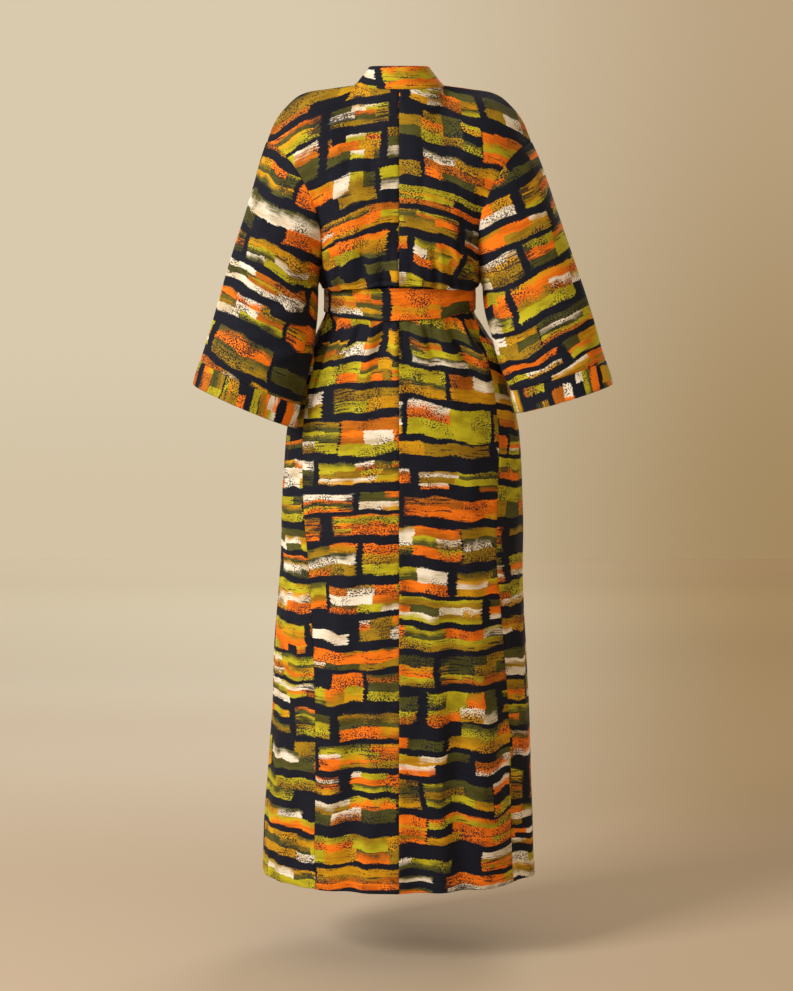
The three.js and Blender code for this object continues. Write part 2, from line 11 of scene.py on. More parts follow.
import bpy
import numpy as np
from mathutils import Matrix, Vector


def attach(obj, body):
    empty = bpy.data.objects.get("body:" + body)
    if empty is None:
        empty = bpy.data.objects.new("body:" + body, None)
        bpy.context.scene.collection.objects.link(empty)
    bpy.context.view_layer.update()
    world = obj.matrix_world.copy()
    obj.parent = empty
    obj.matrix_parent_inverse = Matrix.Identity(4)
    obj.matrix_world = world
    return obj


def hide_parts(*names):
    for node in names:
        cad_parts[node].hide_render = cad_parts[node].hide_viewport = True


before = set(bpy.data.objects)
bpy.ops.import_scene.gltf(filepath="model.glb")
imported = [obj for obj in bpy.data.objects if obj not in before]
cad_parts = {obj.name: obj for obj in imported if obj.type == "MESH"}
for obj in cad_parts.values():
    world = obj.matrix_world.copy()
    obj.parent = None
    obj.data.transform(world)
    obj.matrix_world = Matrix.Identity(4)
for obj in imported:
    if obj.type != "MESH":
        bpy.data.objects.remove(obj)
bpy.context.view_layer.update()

# %% [markdown]
# ## The camera and the lights
#
# A robe is seen best from a few metres away with a long lens, which keeps the
# hem from spreading. One large light stands high on the left, as a studio's soft
# box does, a weak one opens the shadows on the right, and one behind the robe
# draws its outline.

# %% Camera and lights
scene = bpy.context.scene


def aim(thing, place, target):
    """Puts a camera or light at a place and turns its -Z axis to a target."""
    thing.location = place
    thing.rotation_euler = (Vector(target) - Vector(place)).to_track_quat("-Z", "Y").to_euler()
    scene.collection.objects.link(thing)


camera = bpy.data.objects.new("camera", bpy.data.cameras.new("camera"))
camera.data.lens = 93
camera.data.sensor_width = 36
aim(camera, (-0.0045, -4.5, -0.128), (-0.0045, 0, -0.72))
scene.camera = camera


def soft_box(name, place, target, size, power, colour):
    """A square area light with a soft edge to its shadows."""
    light = bpy.data.lights.new(name, "AREA")
    light.size, light.energy, light.color = size, power, colour
    aim(bpy.data.objects.new(name, light), place, target)


soft_box("key_light", (-3.1, -2.3, 1.3), (0, 0, -0.6), 1.5, 200, (1.0, 0.97, 0.92))
soft_box("fill_light", (2.2, -3.6, 0.4), (0, 0, -0.7), 2.4, 11, (1.0, 0.96, 0.92))
soft_box("back_light", (1.4, 3.0, 1.6), (0, 0, -0.6), 2.0, 60, (1.0, 0.97, 0.94))

scene.view_settings.view_transform = "Standard"
print("camera and 3 lights")

# %% [markdown]
# ## Reading sizes from tables
#
# A pattern cutter notes a few measures at a few levels and draws a fair curve
# through them. The tables here do the same, and one function reads a smooth
# value between two rows, for a whole array of levels at once.

# %% Tables and smooth steps
def table(names, rows):
    """Columns of numbers by name, from one row of numbers for each section."""
    return dict(zip(names.split(), np.array(rows, float).T))


def read(rows, column, at):
    """A column's value on a cubic curve: in each span the value leaves one row
    with the mean slope of its neighbours and reaches the next row with its own."""
    x, y = next(iter(rows.values())), rows[column]
    order = np.arange(len(x))
    before, after = np.maximum(order - 1, 0), np.minimum(order + 1, len(x) - 1)
    slope = (y[after] - y[before]) / (x[after] - x[before])
    at = np.clip(at, x[0], x[-1])
    i = np.clip(np.searchsorted(x, at) - 1, 0, len(x) - 2)
    span = x[i + 1] - x[i]
    t = (at - x[i]) / span
    start = (1 + 2 * t) * y[i] + t * span * slope[i]
    end = (3 - 2 * t) * y[i + 1] - (1 - t) * span * slope[i + 1]
    return start * (1 - t) ** 2 + end * t**2


def ramp(value, low, high):
    """0 below low, 1 above high, and 3t² - 2t³ between them."""
    t = np.clip((value - low) / (high - low), 0, 1)
    return t * t * (3 - 2 * t)


def mix(a, b, share):
    """a at share 0 and b at share 1, in a straight line."""
    return a + (b - a) * share


def turned(angle):
    """An angle brought between -180 and 180 degrees."""
    return np.mod(angle + 180, 360) - 180


def vector(x, y, z):
    """Three arrays of one shape, stacked as points."""
    return np.stack(np.broadcast_arrays(x, y, z), axis=-1).astype(float)


# %% [markdown]
# ## The sizes of the robe
#
# A robe like this one is drafted from a body's half widths and depths at a dozen
# levels, the slope of its shoulders, and the lines where its seams run. The two
# sides get their own numbers, because nobody stands quite evenly.

# %% Sizes of the robe
HEM_Z, UNDERARM_Z = -1399, -322
BAND_WIDTH, NAPE_STAND = 45, 40
BELT_TOP, BELT_FOOT = -340, -394
BELT_WIDTH, BELT_MIDDLE = BELT_TOP - BELT_FOOT, (BELT_TOP + BELT_FOOT) / 2
NECK_SHARE = 0.3            # part of the back's top edge that is neckline
NECK = {"half_width": 78, "nape_y": -66, "nape_z": -10, "throat_y": 72, "throat_z": -75}
SHOULDER_Y, TIP_X = -8, 230
UNDERLAP_DEPTH = 6          # how far the left front lies below the right one

BODY = table("z left right back front", [
    [HEM_Z, 243, 244, 162, 152], [-1312, 239, 241, 159, 149],
    [-1205, 231, 237, 154, 144], [-1097, 225, 232, 149, 138],
    [-989, 220, 227, 143, 131], [-845, 210, 220, 135, 122],
    [-737, 208, 219, 130, 116], [-612, 198, 213, 124, 109],
    [-540, 185, 198, 118, 105], [-466, 161, 176, 109, 100],
    [-440, 147, 156, 103, 97], [-412, 134, 139, 96, 94],
    [-396, 129.5, 132.5, 93, 92.5], [-367, 128, 131, 92, 92],
    [-338, 129.5, 132.5, 93.5, 92.5], [-330, 136, 139.5, 103, 98],
    [UNDERARM_Z, 136, 139, 101, 97]])
SIDE_SEAM = table("z left right", [
    [HEM_Z, 36, 57], [-1097, 40, 57], [-895, 46, 52], [-805, 50, 50],
    [-612, 59, 55], [-485, 64, 61], [-440, 70, 67], [-396, 79, 77],
    [-367, 84, 83], [-338, 88, 88], [UNDERARM_Z, 90, 90]])
FRONT_EDGE = table("z angle", [
    [HEM_Z, 205], [-700, 203], [-545, 198], [-440, 190], [-396, 183],
    [-338, 174], [UNDERARM_Z, 171.6]])
CHEST_EDGE = table("height across", [
    [0, 0.0933], [0.25, 0.135], [0.5, 0.17], [0.75, 0.215], [1, NECK_SHARE]])
SHOULDER_SLOPE = table("x z", [
    [65, 0], [120, -7], [170, -17], [200, -42], [218, -68], [TIP_X, -98]])
ARMHOLE = table("height x z back front", [
    [0, 138, UNDERARM_Z, 0, 0], [0.2, 137, -287, -52, 50],
    [0.45, 146, -215, -84, 78], [0.7, 176, -148, -80, 70],
    [0.88, 207, -112, -50, 40], [1, TIP_X, -98, SHOULDER_Y, SHOULDER_Y]])
CENTRE_LINE = table("height back front", [
    [0, 0, 0], [0.35, 18, 15], [0.7, 21, 16], [1, 0, 0]])
print("tables for the body,", len(BODY["z"]), "levels from", HEM_Z, "to", UNDERARM_Z, "mm")

# %% [markdown]
# ## Folds, gathers and creases
#
# Cloth that hangs from a gathered waist falls in long ridges that widen as they
# go down, and no two are alike. Each long fold is a ridge along a slanting line,
# so its height is a bell curve of the distance from that line. Short creases are
# made the same way, with their own length, width and fade, and small gathers are
# waves that die out away from the belt. All of them only push the surface in or
# out, so the seams stay where the pattern has them.

# %% Tables of folds
LONG_FOLDS = [  # from angle, to angle, from z, to z, height, spread in degrees
    (-8, -14, -640, HEM_Z, 7, 6), (-26, -31, -540, HEM_Z, 9, 7),
    (-50, -58, -700, HEM_Z, 6, 6), (14, 18, -600, HEM_Z, 8, 6),
    (34, 38, -520, HEM_Z, 10, 7), (68, 74, -650, HEM_Z, 6, 6),
    (108, 112, -560, HEM_Z, 9, 8), (134, 139, -600, HEM_Z, 8, 8),
    (160, 164, -560, HEM_Z, 7, 8), (-174, -178, -620, HEM_Z, 8, 8),
    (-150, -152, -560, HEM_Z, 8, 8), (-122, -118, -520, HEM_Z, 9, 8),
    (-96, -98, -660, HEM_Z, 6, 7)]
BLADE_FOLDS = [  # angle, top, height, spread in degrees
    (-40, -195, 8, 5), (-18, -270, 4, 4), (22, -250, 5, 4),
    (46, -215, 8, 5), (128, -240, 5, 7), (-132, -240, 5, 7)]
GATHERS = table("z height", [
    [HEM_Z, 0], [-640, 0], [-545, 1.2], [-485, 2.4], [-440, 3.6], [-412, 2.6],
    [-396, 0], [-367, 0], [-338, 0], [-330, 3], [UNDERARM_Z, 2.6], [-290, 1.4],
    [-240, 0], [0, 0]])
# Creases from the belt down: angle at the belt, angle and level of the lower end,
# width and height in mm.
BELT_CREASES = [
    (-66, -72, -520, 8, 2.8), (-55, -60, -610, 7, -3), (-43, -46, -555, 9, 3.2), (-33, -34, -470, 7, -2.4),
    (-20, -23, -505, 8, 2.6), (-13, -13, -620, 8, -2.8), (-5, -6, -560, 8, 2.6), (4, 5, -490, 7, -2.2),
    (11, 12, -600, 8, 2.4), (20, 23, -520, 7, -2.6), (28, 31, -630, 9, 3.4), (39, 43, -500, 8, -2.6),
    (50, 56, -585, 9, 3), (60, 67, -530, 7, -2.8), (72, 80, -640, 9, 2.6), (96, 94, -540, 9, 2.8),
    (112, 110, -600, 9, -3), (126, 128, -520, 8, 2.6), (142, 146, -640, 9, 3), (156, 162, -560, 8, -2.8),
    (-98, -95, -560, 9, 3), (-114, -112, -500, 8, -2.6), (-128, -131, -630, 9, 3),
    (-144, -148, -530, 8, 2.6), (-158, -166, -600, 9, -2.8)]
# Creases up from the hem: angle and level of the upper end, angle at the hem, width
# and height.
HEM_CREASES = [
    (-40, -930, -44, 17, 3.6), (-19, -1010, -21, 15, -3.4), (-2, -860, -3, 20, 3.2),
    (7, -1080, 8, 12, -2.6), (26, -960, 28, 15, -3.6), (46, -880, 50, 16, 3.4), (57, -1040, 62, 14, -3),
    (-68, -900, -74, 18, 3.2), (120, -900, 124, 17, 3.4), (149, -980, 152, 16, -3.2),
    (98, -1000, 97, 15, -3.2), (-108, -940, -106, 17, 3.4), (-136, -1010, -138, 15, -3.4),
    (-163, -930, -165, 16, 3)]
# All the others: angle and level of each end, width, height, fade at each end.
FREE_CREASES = [
    (-78, -205, -34, -326, 10, 3, 0.5, 0.5), (-84, -250, -52, -330, 8, 2.6, 0.4, 0.5),
    (74, -222, 36, -328, 11, 3.2, 0.5, 0.5), (84, -262, 60, -330, 8, 2.2, 0.4, 0.5),
    (-60, -238, -44, -330, 7, -2.6, 0.4, 0.5), (57, -246, 50, -330, 7, -2.4, 0.4, 0.5),
    (-10, -236, -5, -333, 8, 1.9, 0.6, 0.1), (12, -228, 15, -332, 9, 2.1, 0.6, 0.1),
    (30, -262, 29, -333, 6, 1.9, 0.5, 0.1), (-28, -256, -25, -333, 6, -2.2, 0.5, 0.1),
    (3, -288, 5, -333, 6, -1.8, 0.6, 0.1), (40, -284, 37, -333, 6, -1.8, 0.6, 0.1),
    (-39, -190, -37, -333, 8, -3, 0.5, 0.1), (-46, -215, -44, -333, 7, 2.6, 0.5, 0.1),
    (47, -235, 46, -333, 7, -2.8, 0.5, 0.1), (54, -250, 53, -333, 7, 2.2, 0.5, 0.1),
    (-34, -98, -58, -190, 16, -1.8, 0.5, 0.5), (36, -102, 62, -200, 17, -1.7, 0.5, 0.5),
    (-30, -640, -37, -930, 16, -2.6, 0.5, 0.5), (6, -620, 12, -980, 18, -2.2, 0.5, 0.5),
    (40, -660, 34, -900, 15, -2.4, 0.5, 0.5), (54, -700, 60, -1010, 17, 2.6, 0.5, 0.5),
    (104, -230, 132, -330, 9, 2.6, 0.5, 0.2), (-106, -226, -134, -330, 9, 2.6, 0.5, 0.2),
    (142, -250, 150, -330, 8, -2.2, 0.5, 0.2), (-144, -244, -152, -330, 8, -2.2, 0.5, 0.2)]
CREASES = [*FREE_CREASES, *((a0, -398, a1, z1, *size, 0.1, 0.6) for a0, a1, z1, *size in BELT_CREASES),
           *((a0, z0, a1, -1405, *size, 0.6, 0.01) for a0, z0, a1, *size in HEM_CREASES)]
BACK_GATHERS, FRONT_GATHERS = 20, 12
CREASE_DEPTH = 1.35         # all the creases together, deeper than in the tables
MM_PER_DEGREE = 2.6         # mean length of a degree round the body
print(len(LONG_FOLDS), "long folds,", len(BLADE_FOLDS), "blade folds,", len(CREASES), "creases")

# %% [markdown]
# ## From folds to heights
#
# The heights of all the folds add up to one number for each angle and level. One
# function for that number serves every piece, so a fold that crosses a seam goes
# on across it, and the neckband and the belt's ends lie on the same folds as the
# cloth below them.

# %% How far the cloth stands out
def relief(angle, z):
    """Long folds, blade folds and broad gathers: each fold is height times a bell
    of the angle from its own line, and rises as a quarter sine down its length."""
    around = turned(angle)
    height = np.zeros(np.broadcast(around, z).shape)
    for from_angle, to_angle, from_z, to_z, top, spread in LONG_FOLDS:
        run = np.maximum((from_z - z) / (from_z - to_z), 0)
        off = turned(around - mix(from_angle, to_angle, run)) / spread
        height = height + top * np.sin(run * np.pi / 2) * np.exp(-off * off)
    for at, start, top, spread in BLADE_FOLDS:
        off = turned(around - at) / spread
        reach = ramp(start - z, 0, start - UNDERARM_Z) * (z > BELT_TOP + 3)
        height = height + top * reach * np.exp(-off * off)
    size = np.abs(around)
    turn = np.where(size < 90, BACK_GATHERS * size, BACK_GATHERS * 90 + FRONT_GATHERS * (size - 90))
    wander = 40 * np.sin(np.radians(3 * around))
    at_side = np.sin(np.radians(size)) ** 8
    waves = np.cos(np.radians(turn + wander))
    return height + read(GATHERS, "height", z) * (1 - 0.9 * at_side) * waves


def along_creases(across, along, creases):
    """Sum of creases on a flat chart: for each, height times a bell of the distance
    from its line, times a fade over a share of its length at each end."""
    height = np.zeros(np.broadcast(across, along).shape)
    for x0, y0, x1, y1, width, top, fade_in, fade_out in creases:
        length = np.hypot(x1 - x0, y1 - y0)
        run = ((across - x0) * (x1 - x0) + (along - y0) * (y1 - y0)) / length**2
        off = ((across - x0) * (y1 - y0) - (along - y0) * (x1 - x0)) / length
        bow = width * 0.7 * np.sin(np.pi * np.clip(run, 0, 1)) * np.sign(x1 - x0 + 0.1)
        ends = ramp(run, 0, fade_in) * ramp(1 - run, 0, fade_out)
        height = height + top * ends * np.exp(-(((off - bow) / width) ** 2))
    return height


def on_chart(creases, per_degree, per_step=1, depth=1):
    """Creases with their ends in mm, from degrees round and steps along the cloth."""
    return [(a0 * per_degree, s0 * per_step, a1 * per_degree, s1 * per_step, width, depth * height, *fades)
            for a0, s0, a1, s1, width, height, *fades in creases]


BODY_CREASES = on_chart(CREASES, MM_PER_DEGREE, depth=CREASE_DEPTH)


def fine_waves(angle, z):
    """Small uneven gathers beside the belt: cosines of a turn that wanders, whose
    height dies away from the belt over a length that changes round the body, and
    slow swells of the cloth under 1 mm."""
    a = np.radians(turned(angle))
    phase = 47 * a + 1.9 * np.sin(3 * a + 0.6) + 1.3 * np.sin(7 * a + 2.0)
    uneven = 0.62 + 0.38 * np.sin(5 * a + 1.1) * np.cos(11 * a)
    reach = 34 * (1 + 0.45 * np.sin(6 * a + 0.3))
    above = ramp(z, BELT_TOP, BELT_TOP + 10) * np.exp(-np.maximum(z - BELT_TOP - 10, 0) / reach)
    below = ramp(-z, -BELT_FOOT, -BELT_FOOT + 8) * np.exp(-np.maximum(BELT_FOOT - 8 - z, 0) / (1.5 * reach))
    at_side = np.sin(a) ** 8
    gathers = (1.5 * above * (1 - 0.8 * at_side) + 1.9 * below) * uneven * np.cos(phase)
    swell = (0.5 * np.sin(9 * a + z / 61) + 0.4 * np.sin(17 * a - z / 43 + 1)
             + 0.3 * np.sin(31 * a + z / 27 + 2))
    return gathers + swell * ramp(-z, 0, 120) * (1 - above) * ramp(np.abs(z - BELT_MIDDLE), 30, 60)


def detail(angle, z):
    """All that the fine cloth adds to the robe's main folds."""
    chart = turned(angle) * MM_PER_DEGREE
    return along_creases(chart, z, BODY_CREASES) + fine_waves(angle, z)


# The blouse: how the cloth falls over the belt's top edge, by millimetres above it.
BLOUSE = table("above out fall", [
    [0, 0, 0], [2, 0.2, 0.3], [4, 1.7, 0.4], [6, 2.8, -3], [8, 1.8, -12.5],
    [10, 1.9, -21.5], [13, 3.6, -23.6], [17, 5.2, -21.6], [23, 6.0, -18],
    [33, 5.4, -12.6], [47, 3.6, -7.4], [65, 1.6, -3], [90, 0, 0], [400, 0, 0]])


def blouse(angle, z):
    """How far the cloth hangs out and down over the belt's top: most near the
    sides, little at the centre back, less on the side seam itself."""
    a = np.radians(turned(angle))
    near_side = 0.28 + 0.72 * ramp(np.abs(np.sin(a)), 0.05, 0.98)
    uneven = 1 + 0.07 * np.sin(13 * a + 0.7) + 0.03 * np.sin(29 * a)
    share = near_side * uneven * (0.62 + 0.38 * ramp(np.abs(90 - np.abs(turned(angle))), 0, 25))
    above = np.maximum(z - BELT_TOP - 0.5, 0)
    return share * read(BLOUSE, "out", above), share * read(BLOUSE, "fall", above)


# %% [markdown]
# ## The body of the robe
#
# Below the underarm the cloth is a ring at each level, a half ellipse behind and
# another in front. Above it each half is a patch between four edges: the ring,
# the centre line, the armhole, and the neckline with the shoulder seam. A patch
# adds what each edge asks for and takes away what was counted twice.

# %% Points of the body
def waist_dip(angle, z):
    """The levels near the belt dip at the back and rise a little in front."""
    c = np.cos(np.radians(angle))
    return -(6.5 * c + 3.5 * c * c) * np.exp(-(((z - BELT_MIDDLE) / 95) ** 2))


def ring_size(side, angle, z):
    """Half width and half depth of the body's ring at an angle and level."""
    a = np.radians(angle)
    own_right = (np.sin(a) >= 0) == (side > 0)
    width = np.where(own_right, read(BODY, "right", z), read(BODY, "left", z))
    depth = np.where(np.cos(a) >= 0, read(BODY, "back", z), read(BODY, "front", z))
    return width, depth


def ring_base(side, angle, z):
    """A bare point of the ring, as seen on the right-hand side: width times the
    angle's sine across, depth times its cosine back."""
    width, depth = ring_size(side, angle, z)
    a = np.radians(angle)
    return vector(width * np.sin(a), -depth * np.cos(a), z + waist_dip(angle, z))


def raised(side, angle, base, level, inset):
    """A base point moved out along its angle by its folds and the blouse."""
    a = np.radians(angle)
    out, fall = blouse(side * angle, level)
    out = out + relief(side * angle, level) + detail(side * angle, level) - inset
    return base + vector(out * np.sin(a), -out * np.cos(a), fall)


def lower_point(side, angle, z, inset=0.0):
    """A point of the cloth below the underarm."""
    angle, z = np.broadcast_arrays(angle, z)
    return raised(side, angle, ring_base(side, angle, z), z, inset)


def armhole_edge(side, face, height):
    """The armhole's edge, behind or in front, from the underarm up."""
    width = read(BODY, "right" if side > 0 else "left", UNDERARM_Z)
    x = read(ARMHOLE, "x", height) + (width - ARMHOLE["x"][0]) * (1 - height)
    return vector(x, read(ARMHOLE, face, height), read(ARMHOLE, "z", height))


def top_edge(face, across):
    """A quarter ellipse round the neck, and then the shoulder seam out to its tip."""
    start_y, start_z = ((NECK["nape_y"], NECK["nape_z"]) if face == "back"
                        else (NECK["throat_y"], NECK["throat_z"]))
    neck_end_z = read(SHOULDER_SLOPE, "z", NECK["half_width"])
    turn = np.clip(across / NECK_SHARE, 0, 1) * np.pi / 2
    neck = vector(NECK["half_width"] * np.sin(turn), mix(SHOULDER_Y, start_y, np.cos(turn)),
                  mix(neck_end_z, start_z, np.cos(turn)))
    x = mix(NECK["half_width"], TIP_X, (across - NECK_SHARE) / (1 - NECK_SHARE))
    shoulder = vector(x, SHOULDER_Y, read(SHOULDER_SLOPE, "z", x))
    return np.where((across < NECK_SHARE)[..., None], neck, shoulder)


def upper_point(side, face, across, height, inset=0.0):
    """A point of the patch above the underarm: a ruled surface from ring to top
    edge, plus what the centre line and the armhole ask for at this height. Lower
    rows use the top edge averaged over a width, so its corner makes no crease."""
    across, height = np.broadcast_arrays(np.asarray(across, float), np.asarray(height, float))
    back = face == "back"
    angle = across * 90 if back else 180 - across * 90
    quarter = height * np.pi / 2
    rise = vector(height, 1 - np.cos(quarter), np.sin(quarter))

    def ruled(low, high):
        return low + (high - low) * rise

    zero, one = np.zeros_like(across), np.ones_like(across)
    size = np.abs(across)
    spread = np.minimum(0.5 * (1 - height), np.minimum(size, 1 - size))
    top = sum(top_edge(face, size + spread * offset) for offset in np.linspace(-1, 1, 11)) / 11
    top[..., 0] *= np.where(across < 0, -1, 1)
    low_centre = ring_base(side, zero if back else 180 * one, UNDERARM_Z)
    low_side = ring_base(side, 90 * one, UNDERARM_Z)
    high_centre = top_edge(face, zero)
    centre = mix(low_centre, high_centre, height[..., None])
    centre[..., 0] = 0
    centre[..., 1] += read(CENTRE_LINE, face, height) * (-1 if back else 1)
    point = ruled(ring_base(side, angle, UNDERARM_Z), top)
    share = np.abs(across)[..., None]
    point = point + (centre - ruled(low_centre, high_centre)) * (1 - share)
    point = point + (armhole_edge(side, face, height) - ruled(low_side, top_edge(face, one))) * share
    lifted = raised(side, angle, point, point[..., 2], inset)
    return mix(point, lifted, (1 - ramp(height, 0.55, 0.95))[..., None])


def underlap(side, angle, height):
    """How deep the left front lies below the right one."""
    past = ramp(angle, 122, 138) * (1 - ramp(height, 0.35, 0.75))
    return np.where(side < 0, UNDERLAP_DEPTH * past, 0.0)


# %% [markdown]
# ## From a grid of points to a piece of cloth
#
# Each piece is a grid of points. Its own lengths across and up give it a map in
# metres, so the print keeps its real scale however the cloth bends. A single
# layer gets its wall from a Solidify modifier. A band is cloth folded double and
# pressed, so its grid goes over the outside, round a soft edge, back over the
# inside and round the other edge, which is how such a band ends on a real robe.

# %% Grid tools
WALL, PRESSED_WALL, BELT_WALL = 0.6, 1.6, 2.0    # mm: one layer, and two with their edges


def closed(points, ring, tube):
    """The grid with its first column repeated on a ring, its first row on a tube."""
    if ring:
        points = np.concatenate([points, points[:, :1]], axis=1)
    return np.concatenate([points, points[:1]], axis=0) if tube else points


def normals_of(points, ring=False, tube=False):
    """Outward directions: the cross product of the steps across and up."""
    wrap = np.pad(points, ((1, 1), (0, 0), (0, 0)), mode="wrap" if tube else "edge")
    wrap = np.pad(wrap, ((0, 0), (1, 1), (0, 0)), mode="wrap" if ring else "edge")
    across = wrap[1:-1, 2:] - wrap[1:-1, :-2]
    up = wrap[2:, 1:-1] - wrap[:-2, 1:-1]
    cross = np.cross(across, up)
    return cross / np.maximum(np.linalg.norm(cross, axis=-1, keepdims=True), 1e-9)


def unwrap(points, ring=False, tube=False):
    """A flat map in metres: length along each row across, mean length up the rows."""
    whole = closed(points, ring, tube)
    across = np.linalg.norm(np.diff(whole, axis=1), axis=-1)
    up = np.linalg.norm(np.diff(whole, axis=0), axis=-1).mean(axis=1)
    u = np.concatenate([np.zeros((len(whole), 1)), np.cumsum(across, axis=1)], axis=1)
    v = np.concatenate([[0], np.cumsum(up)])[:, None]
    return np.stack(np.broadcast_arrays(u, v), axis=-1) / 1000


def seam_ditch(distance):
    """A seam sinks 0.9 mm over about 2 mm and the cloth beside it puffs up a little."""
    return -0.9 * np.exp(-((distance / 1.8) ** 2)) + 0.3 * np.exp(-(((distance - 6) / 5) ** 2))


def edge_columns(count, width, *marks):
    """Shares from 0 to 1 with extra columns close to each marked seam, in mm."""
    close = np.array([0, 1, 2.2, 4, 7]) / width
    beside = [mark + way * close for mark in marks for way in (1, -1)]
    shares = np.concatenate([np.linspace(0, 1, count + 1), *beside])
    shares = np.unique(np.round(np.clip(shares, 0, 1), 5))
    keep = np.concatenate([[True], np.diff(shares) > 0.6 / width])
    keep[-1] = True
    return shares[keep]


def make_mesh(name, points, uv, ring=False, tube=False):
    """A mesh of four-sided faces from a grid of points in mm, with its flat map."""
    rows, columns = points.shape[:2]
    order = closed(np.arange(rows * columns).reshape(rows, columns, 1), ring, tube)[..., 0]
    flat = np.arange(uv.shape[0] * uv.shape[1]).reshape(uv.shape[:2])

    def corners(grid):
        return np.stack([grid[:-1, :-1], grid[:-1, 1:], grid[1:, 1:], grid[1:, :-1]], axis=-1).reshape(-1, 4)

    faces = corners(order)
    mesh = bpy.data.meshes.new(name)
    mesh.vertices.add(rows * columns)
    mesh.vertices.foreach_set("co", (points / 1000).astype(np.float32).ravel())
    mesh.loops.add(faces.size)
    mesh.loops.foreach_set("vertex_index", faces.astype(np.int32).ravel())
    mesh.polygons.add(len(faces))
    mesh.polygons.foreach_set("loop_start", np.arange(0, faces.size, 4, dtype=np.int32))
    mesh.polygons.foreach_set("use_smooth", np.ones(len(faces), bool))
    mesh.update(calc_edges=True)
    layer = mesh.uv_layers.new(name="flat_cloth")
    layer.data.foreach_set("uv", uv.reshape(-1, 2)[corners(flat)].astype(np.float32).ravel())
    mesh.validate()
    return mesh


def place(name, node, material, points, uv, ring=False, tube=False):
    """Adds a finished piece that rides on the robe and stands for a frame node."""
    mesh = make_mesh(name, points, uv, ring, tube)
    mesh.materials.append(material)
    piece = bpy.data.objects.new(name, mesh)
    scene.collection.objects.link(piece)
    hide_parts(node)
    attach(piece, "root")
    "printed_cotton" if material == printed_cotton else "doubled_bands"
    print(f"{name}: {len(mesh.vertices)} points, {len(mesh.polygons)} faces")
    return piece


def single_layer(piece):
    """Gives a one-layer surface its wall, inwards."""
    solid = piece.modifiers.new("wall", "SOLIDIFY")
    solid.thickness = WALL / 1000
    solid.offset = -1
    return piece


def doubled(points, wall, ring=False, edge_steps=4):
    """A band folded double: outside, round edge, inside, round edge. Each edge is a
    half circle of half the wall: sine outwards, one less cosine inwards."""
    normal = normals_of(points, ring)
    half = wall / 2
    turn = np.linspace(0, np.pi, edge_steps + 2)[1:-1, None, None]

    def edge(last, before, out):
        along = last - before
        along = along / np.maximum(np.linalg.norm(along, axis=-1, keepdims=True), 1e-9)
        return last + half * (np.sin(turn) * along - (1 - np.cos(turn)) * out)

    top = edge(points[-1], points[-2], normal[-1])
    foot = edge(points[0], points[1], normal[0])[::-1]
    return np.concatenate([points, top, (points - wall * normal)[::-1], foot])


def mirrored(points, uv, side, ring=False):
    """A left piece: its points cross the centre plane, its columns turn round. A
    ring's first column stays first."""
    if side > 0:
        return points, uv
    points = (points * [-1, 1, 1])[:, ::-1]
    return (np.roll(points, 1, axis=1) if ring else points), uv[:, ::-1]


# %% [markdown]
# ## Formulas as nodes
#
# A material is a graph of nodes, but a pattern is easier to read as a formula. One
# small class wraps a node's output, so that arithmetic on two of them adds the node
# that works it out.


